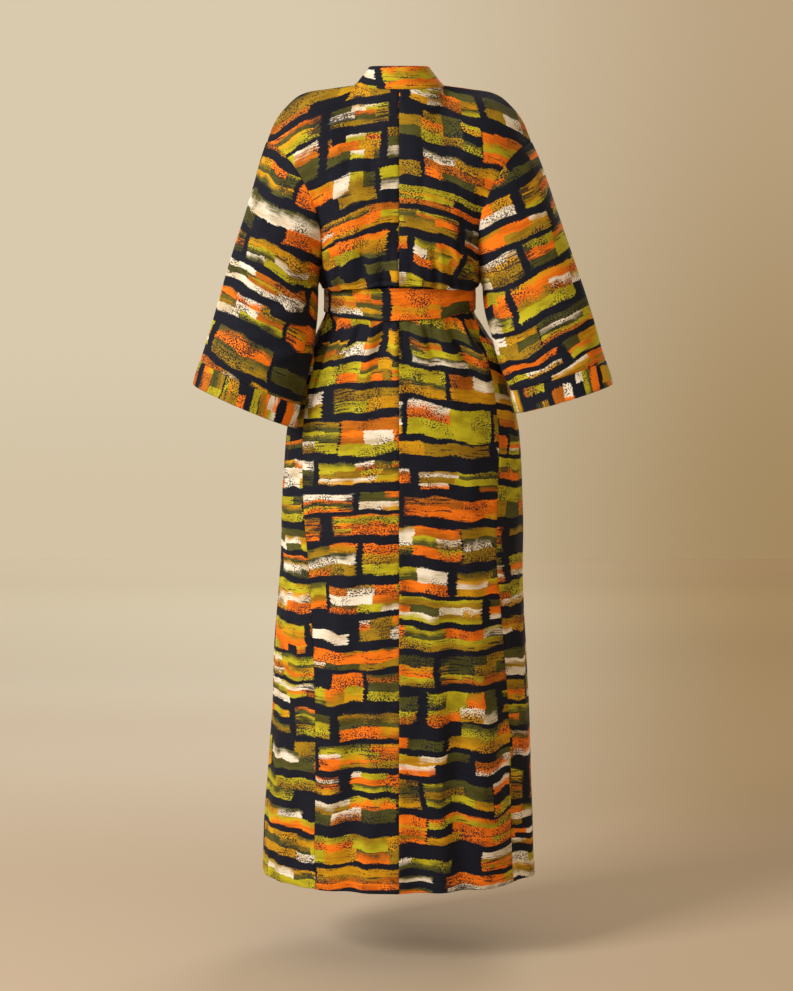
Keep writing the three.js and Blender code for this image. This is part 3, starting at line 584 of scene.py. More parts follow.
# %% Shader arithmetic
class Field:
    """An output socket of a node tree. Arithmetic on it adds Math nodes."""

    def __init__(self, tree, socket):
        self.tree, self.socket = tree, socket

    def node(self, kind, settings, sockets, out=0):
        """Adds any node: its settings first, then the values or links of its sockets."""
        made = self.tree.nodes.new(kind)
        for name, value in settings.items():
            if name == "stops":
                ramp_of = made.color_ramp
                ramp_of.interpolation = "CONSTANT"
                while len(ramp_of.elements) < len(value):
                    ramp_of.elements.new(1)
                for stop, (at, colour) in zip(ramp_of.elements, value):
                    stop.position, stop.color = at, (*colour, 1)
            else:
                setattr(made, name, value)
        for name, value in sockets.items():
            if isinstance(value, Field):
                self.tree.links.new(value.socket, made.inputs[name])
            else:
                made.inputs[name].default_value = value
        return Field(self.tree, made.outputs[out])

    def math(self, operation, first, second=0.0):
        return self.node("ShaderNodeMath", {"operation": operation}, {0: first, 1: second})

    def __add__(self, other):
        return self.math("ADD", self, other)

    def __radd__(self, other):
        return self.math("ADD", other, self)

    def __sub__(self, other):
        return self.math("SUBTRACT", self, other)

    def __rsub__(self, other):
        return self.math("SUBTRACT", other, self)

    def __mul__(self, other):
        return self.math("MULTIPLY", self, other)

    def __rmul__(self, other):
        return self.math("MULTIPLY", other, self)

    def __truediv__(self, other):
        return self.math("DIVIDE", self, other)

    def __pow__(self, other):
        return self.math("POWER", self, other)

    def __gt__(self, other):
        return self.math("GREATER_THAN", self, other)

    def __lt__(self, other):
        return self.math("LESS_THAN", self, other)

    def part(self, index):
        """One part of a vector: 0, 1 or 2 for x, y or z."""
        return self.node("ShaderNodeSeparateXYZ", {}, {0: self}, out=index)

    def sine(self):
        return self.math("SINE", self)

    def floor(self):
        return self.math("FLOOR", self)

    def fraction(self):
        return self.math("FRACT", self)

    def least(self, other):
        return self.math("MINIMUM", self, other)

    def most(self, other):
        return self.math("MAXIMUM", self, other)

    def step(self, low, high):
        """A smooth step from 0 at low to 1 at high."""
        return self.node("ShaderNodeMapRange", {"interpolation_type": "SMOOTHSTEP"},
                         {"Value": self, "From Min": low, "From Max": high})

    def point(self, x, y, z=0.0):
        return self.node("ShaderNodeCombineXYZ", {}, {0: x, 1: y, 2: z})

    def noise(self, x, y, scale, detail=2.0):
        """Soft noise from 0 to 1 on a chart."""
        return self.node("ShaderNodeTexNoise", {"noise_dimensions": "2D"},
                         {"Vector": self.point(x, y), "Scale": scale, "Detail": detail})

    def dice(self, x, y, z):
        """Three random numbers from 0 to 1 for a whole-number place."""
        colour = self.node("ShaderNodeTexWhiteNoise", {"noise_dimensions": "3D"},
                           {"Vector": self.point(x, y, z)}, out=1)
        return [self.node("ShaderNodeSeparateColor", {}, {0: colour}, out=part) for part in range(3)]

    def blend(self, first, second):
        """The first colour where this mask is 0 and the second where it is 1."""
        return self.node("ShaderNodeMix", {"data_type": "RGBA"}, {0: self, 6: first, 7: second}, out=2)

    def palette(self, stops):
        """A flat colour picked by this number."""
        return self.node("ShaderNodeValToRGB", {"stops": stops}, {0: self})


# %% [markdown]
# ## The floor and the backdrop
#
# The floor lies where the wearer's heels would stand, below the hem. Its colour is painted light and shade:
# lighter on the left and darker on the right, fanning out from a point in front of the robe, and darker at
# the near edge and lighter towards the far one, standing in for how the studio light falls. The backdrop goes
# on in the same painted light and shade, read from the direction of each ray, so hardly an edge shows where
# they meet.

# %% Floor and backdrop
FLOOR_Z, FLOOR_SIZE, FAN_Y = -1.54, 9, -4.5
# Slopes at which the painted lit tone on the left ends and the painted shaded tone on the right begins.
LIT_TO_SHADED_SLOPES = (-0.049, 0.155)  # slopes at which the left tone ends and the right one begins
# Painted light and shade of the floor on the left and the right by y in metres, from the near edge to the far
# one.
LEFT_PAINTED_SHADING = [(0.3, (0.44, 0.355, 0.262, 1)), (1.7, (0.555, 0.495, 0.40, 1)), (2.3, (0.60, 0.56, 0.463, 1)),
              (3.85, (0.765, 0.733, 0.61, 1)), (4.5, (0.855, 0.82, 0.69, 1))]
RIGHT_PAINTED_SHADING = [(0.1, (0.40, 0.305, 0.198, 1)), (1.2, (0.29, 0.202, 0.098, 1)),
               (2.7, (0.288, 0.203, 0.094, 1)), (3.85, (0.378, 0.272, 0.132, 1)),
               (4.5, (0.458, 0.33, 0.18, 1))]
# Painted light and shade of the backdrop by the rise of a ray, and the light that it sheds.
LEFT_BACKDROP_PAINTED_SHADING = [(-0.14, (0.658, 0.546, 0.376, 1)), (-0.06, (0.695, 0.585, 0.42, 1))]
RIGHT_BACKDROP_PAINTED_SHADING = [(-0.15, (0.37, 0.25, 0.117, 1)), (0.06, (0.49, 0.36, 0.215, 1))]
AMBIENT = (0.57, 0.465, 0.345, 1)


def fade(along, tones):
    """A colour that passes from each tone to the next one."""
    colour = tones[0][1]
    for (start, _), (end, following) in zip(tones, tones[1:]):
        colour = along.step(start, end).blend(colour, following)
    return colour


bpy.ops.mesh.primitive_plane_add(size=FLOOR_SIZE, location=(0, 0, FLOOR_Z))
floor = bpy.context.object
floor.name = "floor"
floor_paint = bpy.data.materials.new("pale_floor")
floor_paint.use_nodes = True
tree = floor_paint.node_tree
spot = Field(tree, tree.nodes.new("ShaderNodeTexCoord").outputs["Object"])
x, y = spot.part(0), spot.part(1)
# The floor's colour is painted light and shade: lit tones on the left, shaded tones on the right.
paint = (x / (y - FAN_Y)).step(*LIT_TO_SHADED_SLOPES).blend(fade(y, LEFT_PAINTED_SHADING), fade(y, RIGHT_PAINTED_SHADING))
tree.links.new(paint.socket, tree.nodes["Principled BSDF"].inputs["Base Color"])
tree.nodes["Principled BSDF"].inputs["Roughness"].default_value = 0.8
floor.data.materials.append(floor_paint)

world = bpy.data.worlds.new("studio")
world.use_nodes = True
tree = world.node_tree
direction = Field(tree, tree.nodes.new("ShaderNodeTexCoord").outputs["Generated"])
x, z = direction.part(0), direction.part(2)
# What the camera sees of the backdrop is painted light and shade: lighter on the left, darker on the right
# and lower down.
seen = x.step(*LIT_TO_SHADED_SLOPES).blend(fade(z, LEFT_BACKDROP_PAINTED_SHADING), fade(z, RIGHT_BACKDROP_PAINTED_SHADING))
is_seen = Field(tree, tree.nodes.new("ShaderNodeLightPath").outputs["Is Camera Ray"])
tree.links.new(is_seen.blend(AMBIENT, seen).socket, tree.nodes["Background"].inputs["Color"])
scene.world = world
print("floor", FLOOR_SIZE, "m wide and the backdrop")

# %% [markdown]
# ## The printed cotton
#
# The cloth is plain-weave cotton with a bold painted print: brushed blocks in
# orange, mustard, lime, olive and off-white, in rows on a near-black navy ground.
# An image would give one exact print, but a procedural one has no size limit and
# no seams of its own. It reads the flat map of each piece in metres, cuts it into
# rows and the rows into groups of two or three strokes, and gives every stroke
# dabs of its own colours. Seams then cut through the print as on a sewn robe.

# %% Colours of the print
NAVY = (0.0050, 0.0060, 0.0130, 1)
INK = (0.0085, 0.0095, 0.0170, 1)
ORANGE = (0.86, 0.185, 0.005)
RUST = (0.50, 0.140, 0.006)
AMBER = (0.60, 0.300, 0.005)
MUSTARD = (0.34, 0.200, 0.007)
LIME = (0.47, 0.415, 0.012)
OLIVE = (0.078, 0.078, 0.016)
CREAM = (0.82, 0.74, 0.61)
WASH = (0.66, 0.60, 0.48, 1)
FIRST = [(0.0, ORANGE), (0.20, AMBER), (0.34, LIME), (0.51, OLIVE), (0.69, MUSTARD), (0.79, CREAM),
         (0.91, RUST)]
SECOND = [(0.0, LIME), (0.20, AMBER), (0.34, OLIVE), (0.55, ORANGE), (0.70, MUSTARD), (0.86, CREAM)]
ROW, GROUP = 0.055, 0.185   # metres: pitch of the rows, mean length of a group of strokes
WEAVE = 12566.0             # radians a metre: two threads in each 0.5 mm


# %% [markdown]
# ## From the flat map to paint
#
# A printer's brush leaves rows of short strokes that start and stop unevenly. Whole
# numbers of a stretched and warped map tell which row, group, stroke and dab a
# place is in, and random numbers drawn for those tell its colour. What is left over
# after the whole number tells how near the stroke's edge is, where streaks of the
# bristles and a fine grain let the dark ground through.

# %% Rows, groups, strokes and dabs
def in_rows(u, v):
    """The row that a place is in and how far up the row it is: v over the pitch of
    the rows, after a slow warp, as a whole number and what is left over."""
    warped = v + 0.026 * (u.noise(u, v, 4.5) - 0.5) + 0.012 * (u.noise(u, v, 15.0) - 0.5)
    rows = warped * (1 / ROW) + 0.15 * (warped * 27.0).sine()
    return rows.floor(), rows.fraction()


def in_groups(u, v, row):
    """The group that a place is in, the metres to its two ends, and the share of its
    length: the groups' ends are whole numbers, each moved by a random amount."""
    warped = u + 0.028 * (u.noise(v, u, 9.0) - 0.5)
    stretch, shift, _ = u.dice(row, 3.0, 11.0)
    groups = warped * (1 / GROUP) * (0.75 + 0.5 * stretch) + 19.0 * shift
    whole = groups.floor()
    end_here = whole + 0.5 * u.dice(whole, row, 2.0)[0]
    group = whole - (groups < end_here)
    left = group + 0.5 * u.dice(group, row, 2.0)[0]
    right = group + 1.0 + 0.5 * u.dice(group + 1.0, row, 2.0)[0]
    return group, (groups - left) * GROUP, (right - groups) * GROUP, (groups - left) / (right - left)


def in_strokes(u, v, height, count, streak, grain):
    """The stroke that a place is in and how far up the stroke it is, from the share
    of the group's height, with frayed edges."""
    strokes = height * count + 0.30 * (streak - 0.5) + 0.22 * (grain - 0.5)
    strokes = strokes + 0.35 * (u.noise(u, v, 21.0) - 0.5)
    stroke = strokes.floor().most(0.0).least(count - 1.0)
    return stroke, strokes - stroke


def in_dabs(u, group, row, stroke, share):
    """A number for the dab that a place is in. Each stroke has dabs of its own
    length: a whole count times the share of the length to a random power."""
    number_dice, power_dice, _ = u.dice(group, row, 31.0 + stroke)
    count = (1.6 + 3.3 * number_dice).floor()
    dabs = count * share ** (0.6 + power_dice)
    return group * 7.0 + (dabs.floor().least(count - 1.0) + 40.0 * stroke)


# %% Paint, dots and ground
def wet_paint(u, v, in_stroke, streak, dice):
    """The paint's colour. A stroke grades from one colour to another through its
    height, and thinner paint in long patches lets the colour go darker."""
    first, grades, second = dice
    wet = in_stroke + 0.9 * (u.noise(u, v, 45.0) - 0.5) + 0.5 * (streak - 0.5)
    grading = wet.step(0.25, 0.95) * (grades > 0.42)
    paint = grading.blend(first.palette(FIRST), second.palette(SECOND))
    wash = (u.noise(u * 0.5, v, 38.0, 3.0) * 0.7 + 0.3 * streak).step(0.34, 0.60)
    shaded = paint.node("ShaderNodeMix", {"data_type": "RGBA", "blend_type": "MULTIPLY"},
                        {0: 1.0, 6: paint, 7: WASH}, out=2)
    return wash.blend(shaded, paint)


def dark_dots(u, v, in_stroke, dice):
    """Dark dots lie in patches over the paint, and run together over some dabs."""
    dot = u.node("ShaderNodeTexVoronoi", {"voronoi_dimensions": "2D"},
                 {"Vector": u.point(u, v * 1.25), "Scale": 270.0, "Randomness": 1.0})
    patch = (u.noise(v, u, 14.0, 2.0) + 0.20 * dice).step(0.55, 0.70)
    patch = patch * (0.55 + 0.45 * (1.0 - in_stroke))
    dot_size = 0.10 + 0.36 * patch + 0.45 * (u.noise(u, v, 75.0, 3.0) - 0.5) * (patch + 0.1)
    return (dot_size - dot).step(0.0, 0.07)


def brushed_print(chart):
    """The print's colour on a flat map in metres."""
    u, v = chart.part(0), chart.part(1)
    row, up = in_rows(u, v)
    group, from_left, from_right, share = in_groups(u, v, row)
    dry_dice, count_dice, _ = u.dice(group, row, 5.0)
    ends_dice, foot_dice, top_dice = u.dice(group, row, 9.0)

    # Bristle streaks run along the strokes, and a finer grain breaks up every edge.
    streak = u.noise(u * 0.075, v, 300.0, 3.0)
    grain = u.noise(u, v, 330.0, 2.0)
    sway = u.noise(u, row * 0.61, 13.0) - 0.5
    foot = 0.05 + 0.14 * foot_dice + 0.22 * sway
    top = 0.84 + 0.14 * top_dice + 0.22 * sway
    stroke, in_stroke = in_strokes(u, v, (up - foot) / (top - foot), 2.0 + (count_dice > 0.33), streak, grain)
    dab = in_dabs(u, group, row, stroke, (share + 0.05 * (streak - 0.5)).most(0.001))
    bare_dice, dots_dice, _ = u.dice(dab, row, 17.0)

    # Paint lies between a group's foot, top and ends, less bare dabs and dry streaks.
    side_room = (up - foot).least(top - up) * ROW + 0.0060 * (streak - 0.5) + 0.0050 * (grain - 0.5)
    gap = 0.0080 * (ends_dice > 0.35)
    end_room = from_left.least(from_right) - gap + 0.014 * (streak - 0.5) + 0.004 * (grain - 0.5)
    covered = side_room.step(0.0002, 0.0016) * end_room.step(0.0002, 0.0016) * (bare_dice > 0.085)
    thin = (1.0 - end_room.step(0.0, 0.05)) * (ends_dice > 0.6)
    dry = (streak + 0.35 * (grain - 0.5) + 0.16 * thin).step(0.62, 0.67)
    covered = covered * (1.0 - 0.9 * dry * (dry_dice > 0.5))

    ground = (0.8 * streak).step(0.2, 0.8).blend(NAVY, INK)
    colour = covered.blend(ground, wet_paint(u, v, in_stroke, streak, u.dice(dab, row, 13.0)))
    return (dark_dots(u, v, in_stroke, dots_dice) * covered * 0.94).blend(colour, INK)


# %% The two cotton materials
def cotton(name, weave_depth, crumple):
    """Matt cotton with a faint sheen: the print, a plain weave of two crossed sines
    about 0.5 mm apart, and small soft wrinkles, as bump."""
    material = bpy.data.materials.new(name)
    material.use_nodes = True
    tree = material.node_tree
    shader = tree.nodes["Principled BSDF"]
    chart = Field(tree, tree.nodes.new("ShaderNodeUVMap").outputs[0])
    tree.links.new(brushed_print(chart).socket, shader.inputs["Base Color"])
    u, v = chart.part(0), chart.part(1)
    threads = (u * WEAVE).sine() * (v * WEAVE).sine()
    wrinkle = u.noise(u, v, 26.0, 4.0)
    roughness = 0.70 + 0.16 * u.noise(u, v, 60.0, 2.0)
    tree.links.new(roughness.socket, shader.inputs["Roughness"])
    height = threads * weave_depth + wrinkle * crumple
    bump = height.node("ShaderNodeBump", {}, {"Height": height, "Distance": 0.001, "Strength": 0.55})
    tree.links.new(bump.socket, shader.inputs["Normal"])
    shader.inputs["Sheen Weight"].default_value = 0.02
    shader.inputs["Sheen Roughness"].default_value = 0.45
    shader.inputs["Specular IOR Level"].default_value = 0.14
    return material


printed_cotton = cotton("printed_cotton", 0.05, 1.5)
pressed_bands = cotton("pressed_bands", 0.05, 0.9)
print("materials:", printed_cotton.name, pressed_bands.name, len(printed_cotton.node_tree.nodes), "nodes")

# %% [markdown]
# ## The backs and the fronts
#
# The back is cut in two halves with a seam down the centre. The fronts wrap round
# the body and overlap. Rows of points lie closer together at the hem, where a
# turned edge is stitched, and round the belt, where the gathers are small.

# %% Rows of the body
def rows_between(low, high, step):
    """Levels from low up to high, without high, about one step apart."""
    return np.linspace(low, high, int(round((high - low) / step)), endpoint=False)


LEVELS = np.concatenate([
    HEM_Z + np.array([0, 1.5, 4, 9, 14, 16.4, 18, 19.6, 22]), rows_between(HEM_Z + 27, -620, 8.5),
    rows_between(-620, -430, 5), rows_between(-430, -396, 3), rows_between(-396, -346, 6),
    rows_between(-346, -338, 1.6), rows_between(-338, UNDERARM_Z, 0.8), [UNDERARM_Z]])
HEIGHTS = np.concatenate([
    np.array([0.002, 0.005, 0.009, 0.014, 0.020, 0.028]),
    np.linspace(0.038, 0.975, 60), [0.985, 0.992, 0.9965, 1]])
HEM_TURN = 18.0             # mm of cloth turned up and stitched at the hem
print(len(LEVELS), "rows below the underarm,", len(HEIGHTS), "above it")


def finish_edges(points):
    """Sinks both seamed edges, the top one and the stitched hem line, along the
    surface's normals."""
    u, v = np.moveaxis(unwrap(points) * 1000, -1, 0)
    depth = seam_ditch(u) + seam_ditch(u[:, -1:] - u) + seam_ditch(v[-1:] - v)
    depth = depth - 0.55 * np.exp(-(((v - HEM_TURN) / 1.3) ** 2))
    depth = depth + 0.45 * (1 - ramp(v, HEM_TURN - 1, HEM_TURN + 1))
    return points + normals_of(points) * depth[..., None]


GATHERED = 0.34             # extra width of cloth taken up in the gathers at the belt
FOLD_PULL = 0.6             # how far a fold pulls the print down, by its height
DROOP = table("z fall", [  # how far the cloth's crosswise threads droop 130 mm out
    [HEM_Z, 5], [-900, 7], [-600, 13], [-450, 24], [-400, 28], [-322, 36],
    [-200, 35], [-100, 31], [0, 29]])


def print_map(points, lift, corner, side):
    """A panel's flat map: the level length across each row, widened near the belt
    where gathers take up cloth, and the height, plus the droop of the crosswise
    threads, which grows with the distance from the centre to the power 1.5. A fold
    also pulls the threads down along its ridge, by its own height."""
    level = points * [1, 1, 0]
    u = unwrap(level)[..., 0] * side * (1 + GATHERED * np.exp(-(((points[..., 2] - BELT_MIDDLE) / 80) ** 2)))
    z = points[..., 2]
    v = (z + read(DROOP, "fall", z) * (np.abs(points[..., 0]) / 130) ** 1.5 + FOLD_PULL * lift) / 1000
    return np.stack([u, v], axis=-1) + corner


panels = {}


def closed_seams(points):
    """Both seamed edges go 0.35 mm past the seam, so no light comes through it."""
    points = points.copy()
    for edge, beside in ((0, 1), (-1, -2)):
        out = points[:, edge] - points[:, beside]
        points[:, edge] += 0.35 * out / np.linalg.norm(out, axis=-1, keepdims=True)
    return points


def sew_panel(name, node, side, points, angle, corner):
    """Finishes one panel: seam ditches, flat map, mirror for the left, thin wall."""
    level = points[..., 2]
    lift = relief(side * angle, level) + detail(side * angle, level)
    points = closed_seams(finish_edges(points))
    points, uv = mirrored(points, print_map(points, lift, corner, side), side)
    panels[name] = points
    return single_layer(place(name, node, printed_cotton, points, uv))


# %% The two halves of the back
def back_points(side, shares):
    """From the centre-back seam (0) to the side seam or armhole (1), row by row."""
    seam = read(SIDE_SEAM, "right" if side > 0 else "left", LEVELS)[:, None]
    low = lower_point(side, shares * seam, LEVELS[:, None])
    high = upper_point(side, "back", shares, HEIGHTS[:, None])
    angle = np.concatenate([shares * seam, shares * 90 + 0 * HEIGHTS[:, None]])
    return np.concatenate([low, high]), angle


BACK_SHARES = edge_columns(66, 250, 0, NECK_SHARE, 1)
right_back = sew_panel("right_back", "back_right", 1, *back_points(1, BACK_SHARES), (1.852, 0.209))
left_back = sew_panel("left_back", "back_left", -1, *back_points(-1, BACK_SHARES), (3.137, 0.021))

# %% [markdown]
# ## The wrap
#
# The fronts are cut wider than half of the body and cross over. Each goes from the
# side seam to a slanting edge, and the left one sinks a few millimetres where it
# passes below the right one, so the two layers stay apart.

# %% The two fronts
def front_points(side, shares):
    """From the side seam or armhole (0) to the seam with the neckband (1)."""
    seam = read(SIDE_SEAM, "right" if side > 0 else "left", LEVELS)[:, None]
    angle = mix(seam, read(FRONT_EDGE, "angle", LEVELS)[:, None], shares)
    low = lower_point(side, angle, LEVELS[:, None], underlap(side, angle, 0))
    height = HEIGHTS[:, None]
    across = mix(1, read(CHEST_EDGE, "across", height), shares)
    high = upper_point(side, "front", across, height, underlap(side, 180 - 90 * across, height))
    return np.concatenate([low, high]), np.concatenate([angle, 180 - 90 * across])


FRONT_SHARES = edge_columns(80, 380, 0, 1)
right_front = sew_panel("right_front", "front_right", 1, *front_points(1, FRONT_SHARES), (4.713, 0.133))
left_front = sew_panel("left_front", "front_left", -1, *front_points(-1, FRONT_SHARES), (6.391, 0.087))

# %% [markdown]
# ## The neckband
#
# One long strip, folded double, runs from hem to hem round the neck. It lies flat
# on the fronts and turns up to stand at the nape, so its free edge follows the
# surface low down and leans towards the neck higher up.

# %% Neckband
STANDING_AT_SIDE = np.array([-0.62, 0.04, 0.78]) / np.linalg.norm([-0.62, 0.04, 0.78])
STANDING_AT_NAPE = np.array([0, 0.16, 0.98]) / np.linalg.norm([0, 0.16, 0.98])


def front_band(side, share):
    """The band on one front, by a share of its width from the seam, row by row up."""
    reach = BAND_WIDTH * share
    z = LEVELS
    angle = read(FRONT_EDGE, "angle", z)
    width, depth = ring_size(side, angle, z)
    per_radian = np.hypot(width * np.cos(np.radians(angle)), depth * np.sin(np.radians(angle)))
    beyond = angle + np.degrees(reach / per_radian)
    low = lower_point(side, beyond, z, underlap(side, beyond, 0))
    height = HEIGHTS
    across = read(CHEST_EDGE, "across", height)
    arc = mix(ring_size(side, 180.0, UNDERARM_Z)[0] * np.pi / 2, 300, height)
    inset = underlap(side, 180 - 90 * across, height)
    flat = upper_point(side, "front", across - reach / arc, height, inset)
    standing = upper_point(side, "front", across, height, inset) + STANDING_AT_SIDE * NAPE_STAND * share
    high = mix(flat, standing, ramp(height, 0.45, 1)[:, None])
    return np.concatenate([low, high]) * [side, 1, 1]


def nape_band(side, share):
    """The band behind the neck, from the shoulder seam (without it) to the nape."""
    turn = np.linspace(0, 1, 25)[1:]
    stand = mix(STANDING_AT_SIDE, STANDING_AT_NAPE, turn[:, None])
    stand = stand / np.linalg.norm(stand, axis=1, keepdims=True)
    return (top_edge("back", (1 - turn) * NECK_SHARE) + stand * NAPE_STAND * share) * [side, 1, 1]


def band_row(share):
    """One line of the whole band, from the left hem round to the right one."""
    left = np.concatenate([front_band(-1, share), nape_band(-1, share)])
    right = np.concatenate([front_band(1, share), nape_band(1, share)[:-1]])
    return np.concatenate([left, right[::-1]])


def rounded_at_neck(face):
    """The band turns round the neck softly: towards its free edge, points near each
    shoulder take the mean of their neighbours, found by repeated averaging."""
    corner, column = len(LEVELS) + len(HEIGHTS), np.arange(face.shape[1])
    far = np.minimum(np.abs(column - corner), np.abs(column[::-1] - corner))
    mean = face.copy()
    for _ in range(36):
        mean[:, 1:-1] = (mean[:, :-2] + 2 * mean[:, 1:-1] + mean[:, 2:]) / 4
    share = BAND_SHARES[:, None] ** 0.7 * np.exp(-((far / 11) ** 2))
    return mix(face, mean, share[..., None])


BAND_SHARES = np.array([0.012, 0.05, 0.12, 0.22, 0.34, 0.5, 0.66, 0.78, 0.88, 0.95, 0.988])
band_face = rounded_at_neck(np.stack([band_row(share) for share in BAND_SHARES]))
crown = 0.7 * np.sin(np.pi * BAND_SHARES)[:, None, None]
band_face = band_face + normals_of(band_face) * crown
band_tube = doubled(band_face, PRESSED_WALL)
neckband = place("neckband_cloth", "neckband", pressed_bands, band_tube,
                 unwrap(band_tube, tube=True) + (8.21, 0.057), tube=True)

# %% [markdown]
# ## The sleeves and their cuffs
#
# A wide sleeve is a tube that starts as the armhole's own outline and rounds out
# as it goes down. Each ring is an ellipse between an outer and an inner line, and
# the first rings blend from the armhole's outline to the ellipse. Diagonal drag
# folds run across it from the inner elbow, where a bent arm takes up the cloth.

# %% Sleeve tables
SLEEVE = {
    "left": [[230, -98, 136, UNDERARM_Z, -3, 80], [240, -125, 141.5, -340, -8, 80],
             [252, -168, 142, -362, -13, 79], [266, -215, 142, -385, -22, 78],
             [281, -265, 142.5, -410, -33, 75], [296, -318, 145, -437, -45, 71],
             [312, -372, 151, -468, -57, 66], [329, -425, 160, -506, -67, 62],
             [344, -475, 171, -551, -75, 60]],
    "right": [[230, -98, 139, UNDERARM_Z, -3, 80], [243, -125, 146, -340, -8, 80],
              [259, -168, 147, -362, -13, 79], [275, -215, 149, -385, -19, 78],
              [291, -265, 153, -408, -26, 76], [308, -318, 160, -432, -36, 73],
              [326, -372, 168, -460, -47, 69], [343, -425, 179, -492, -56, 65],
              [358, -475, 194, -527, -64, 62]]}
CUFF_END = {"left": [357, -514, 180, -590, -78, 60], "right": [371, -514, 203, -565, -68, 62]}
# Folds on the sleeve's chart: degrees round from the underarm and mm down the sleeve.
SLEEVE_FOLDS = {
    "left": [
        (38, 60, 88, 150, 11, 3.2, 0.4, 0.5), (30, 120, 96, 214, 12, 5.0, 0.3, 0.5),
        (46, 132, 104, 236, 8, -3.8, 0.3, 0.5), (36, 178, 118, 262, 12, 4.6, 0.3, 0.5),
        (60, 214, 128, 286, 9, -2.8, 0.4, 0.5), (30, 236, 92, 330, 12, 3.8, 0.3, 0.6),
        (118, 60, 128, 190, 15, 2.6, 0.5, 0.5), (150, 120, 158, 330, 16, 2.8, 0.5, 0.4),
        (206, 70, 212, 240, 15, 2.8, 0.5, 0.5), (300, 90, 262, 190, 12, 4.2, 0.3, 0.5),
        (318, 150, 250, 262, 12, 4.4, 0.3, 0.5), (322, 214, 264, 320, 11, -3.4, 0.3, 0.5),
        (20, 40, 30, 230, 10, -2.6, 0.4, 0.4), (340, 60, 336, 230, 11, 2.6, 0.4, 0.4)],
    "right": [
        (40, 76, 92, 168, 12, 3.4, 0.4, 0.5), (34, 136, 100, 228, 11, 4.6, 0.3, 0.5),
        (50, 150, 110, 250, 8, -3.4, 0.3, 0.5), (30, 196, 108, 276, 12, 4.8, 0.3, 0.5),
        (62, 232, 132, 300, 9, -2.6, 0.4, 0.5), (34, 254, 98, 346, 12, 3.4, 0.3, 0.6),
        (122, 50, 134, 200, 15, 2.6, 0.5, 0.5), (152, 140, 162, 340, 16, 2.6, 0.5, 0.4),
        (204, 60, 214, 250, 15, 2.8, 0.5, 0.5), (298, 100, 258, 206, 12, 4.2, 0.3, 0.5),
        (320, 164, 252, 270, 12, 4.4, 0.3, 0.5), (324, 226, 262, 330, 11, -3.4, 0.3, 0.5),
        (20, 50, 28, 240, 10, -2.4, 0.4, 0.4), (340, 70, 334, 240, 11, 2.6, 0.4, 0.4)]}
SLEEVE_COLUMNS, ARMHOLE_BLEND = 112, 3
SLEEVE_TURN = np.arange(SLEEVE_COLUMNS) / SLEEVE_COLUMNS * 2 * np.pi
SLEEVE_DEPTH = 1.3          # all the sleeves' folds together, deeper than in the table
SLEEVE_MM_PER_DEGREE = 1.35


# %% Sleeve points
def armhole_ring(side):
    """The armhole's outline, from the underarm up the back and down the front."""
    half = np.arange(SLEEVE_COLUMNS // 2 + 1) / (SLEEVE_COLUMNS // 2)
    height = half + 0.1 * np.sin(np.pi * half)
    behind = upper_point(side, "back", 1.0, height)
    before = upper_point(side, "front", 1.0, height[1:-1][::-1])
    return np.concatenate([behind, before])


def sleeve_ellipse(outer_x, outer_z, inner_x, inner_z, centre_y, half_depth):
    """An ellipse between the outer and the inner line, from the inner one on."""
    share = (1 - np.cos(SLEEVE_TURN)) / 2
    return vector(mix(inner_x, outer_x, share), centre_y - half_depth * np.sin(SLEEVE_TURN),
                  mix(inner_z, outer_z, share))


def sleeve_rings(side, sections, at):
    """Rings at whole or part sections: an ellipse between the outer and inner line,
    blended over the first sections with the armhole's outline carried along."""
    rim = armhole_ring(side)
    names = "order outer_x outer_z inner_x inner_z centre_y half_depth"
    rows = table(names, [[k, *row] for k, row in enumerate(sections)])
    section = [read(rows, name, at)[:, None] for name in names.split()[1:]]
    outer_x, outer_z, inner_x, inner_z, centre_y, _ = section
    tip = rim[SLEEVE_COLUMNS // 2]
    out_share = (rim[:, 0] - rim[0, 0]) / (TIP_X - rim[0, 0])
    up_share = (rim[:, 2] - UNDERARM_Z) / (tip[2] - UNDERARM_Z)
    carried = vector(mix(inner_x, outer_x, out_share), centre_y - rows["centre_y"][0] + rim[:, 1],
                     mix(inner_z, outer_z, up_share))
    return mix(carried, sleeve_ellipse(*section), ramp(at, 0, ARMHOLE_BLEND)[:, None, None])


def sleeve_relief(points, folds):
    """How far a sleeve stands out: diagonal folds and slow swells on its own chart,
    faded at both seams."""
    down = (unwrap(points)[:, 0, 1] * 1000)[:, None]
    a = SLEEVE_TURN[None]
    height = along_creases(np.degrees(a) * SLEEVE_MM_PER_DEGREE, down, on_chart(folds, SLEEVE_MM_PER_DEGREE))
    swell = 0.5 * np.sin(3 * a + down / 37) + 0.4 * np.sin(7 * a - down / 23 + 1)
    return SLEEVE_DEPTH * (height + swell) * ramp(down, 4, 40) * ramp(down[-1] - down, 2, 26)


LEAN = np.radians(17)       # the sleeve's own slant from upright
CROSS_THREADS = np.radians(27)   # slope of its crosswise threads
SLEEVE_PULL = {-1: 1.5, 1: 0.8}  # how far a fold pulls the print down, by its height


def sleeve_map(rings, lift, side):
    """A sleeve's flat map: the length round it, seen along its own slant, and the
    distance from a level that slopes down towards the body, pulled by each fold."""
    axis = np.array([np.sin(LEAN), 0, -np.cos(LEAN)])
    whole = closed(rings, ring=True, tube=False)
    across = unwrap(whole - (whole @ axis)[..., None] * axis)[..., 0] * side
    lift = closed(lift[..., None], ring=True, tube=False)[..., 0]
    v = whole[..., 2] * np.cos(CROSS_THREADS) - whole[..., 0] * np.sin(CROSS_THREADS)
    v = (v + SLEEVE_PULL[side] * lift) / 1000
    return np.stack([across, v], axis=-1)


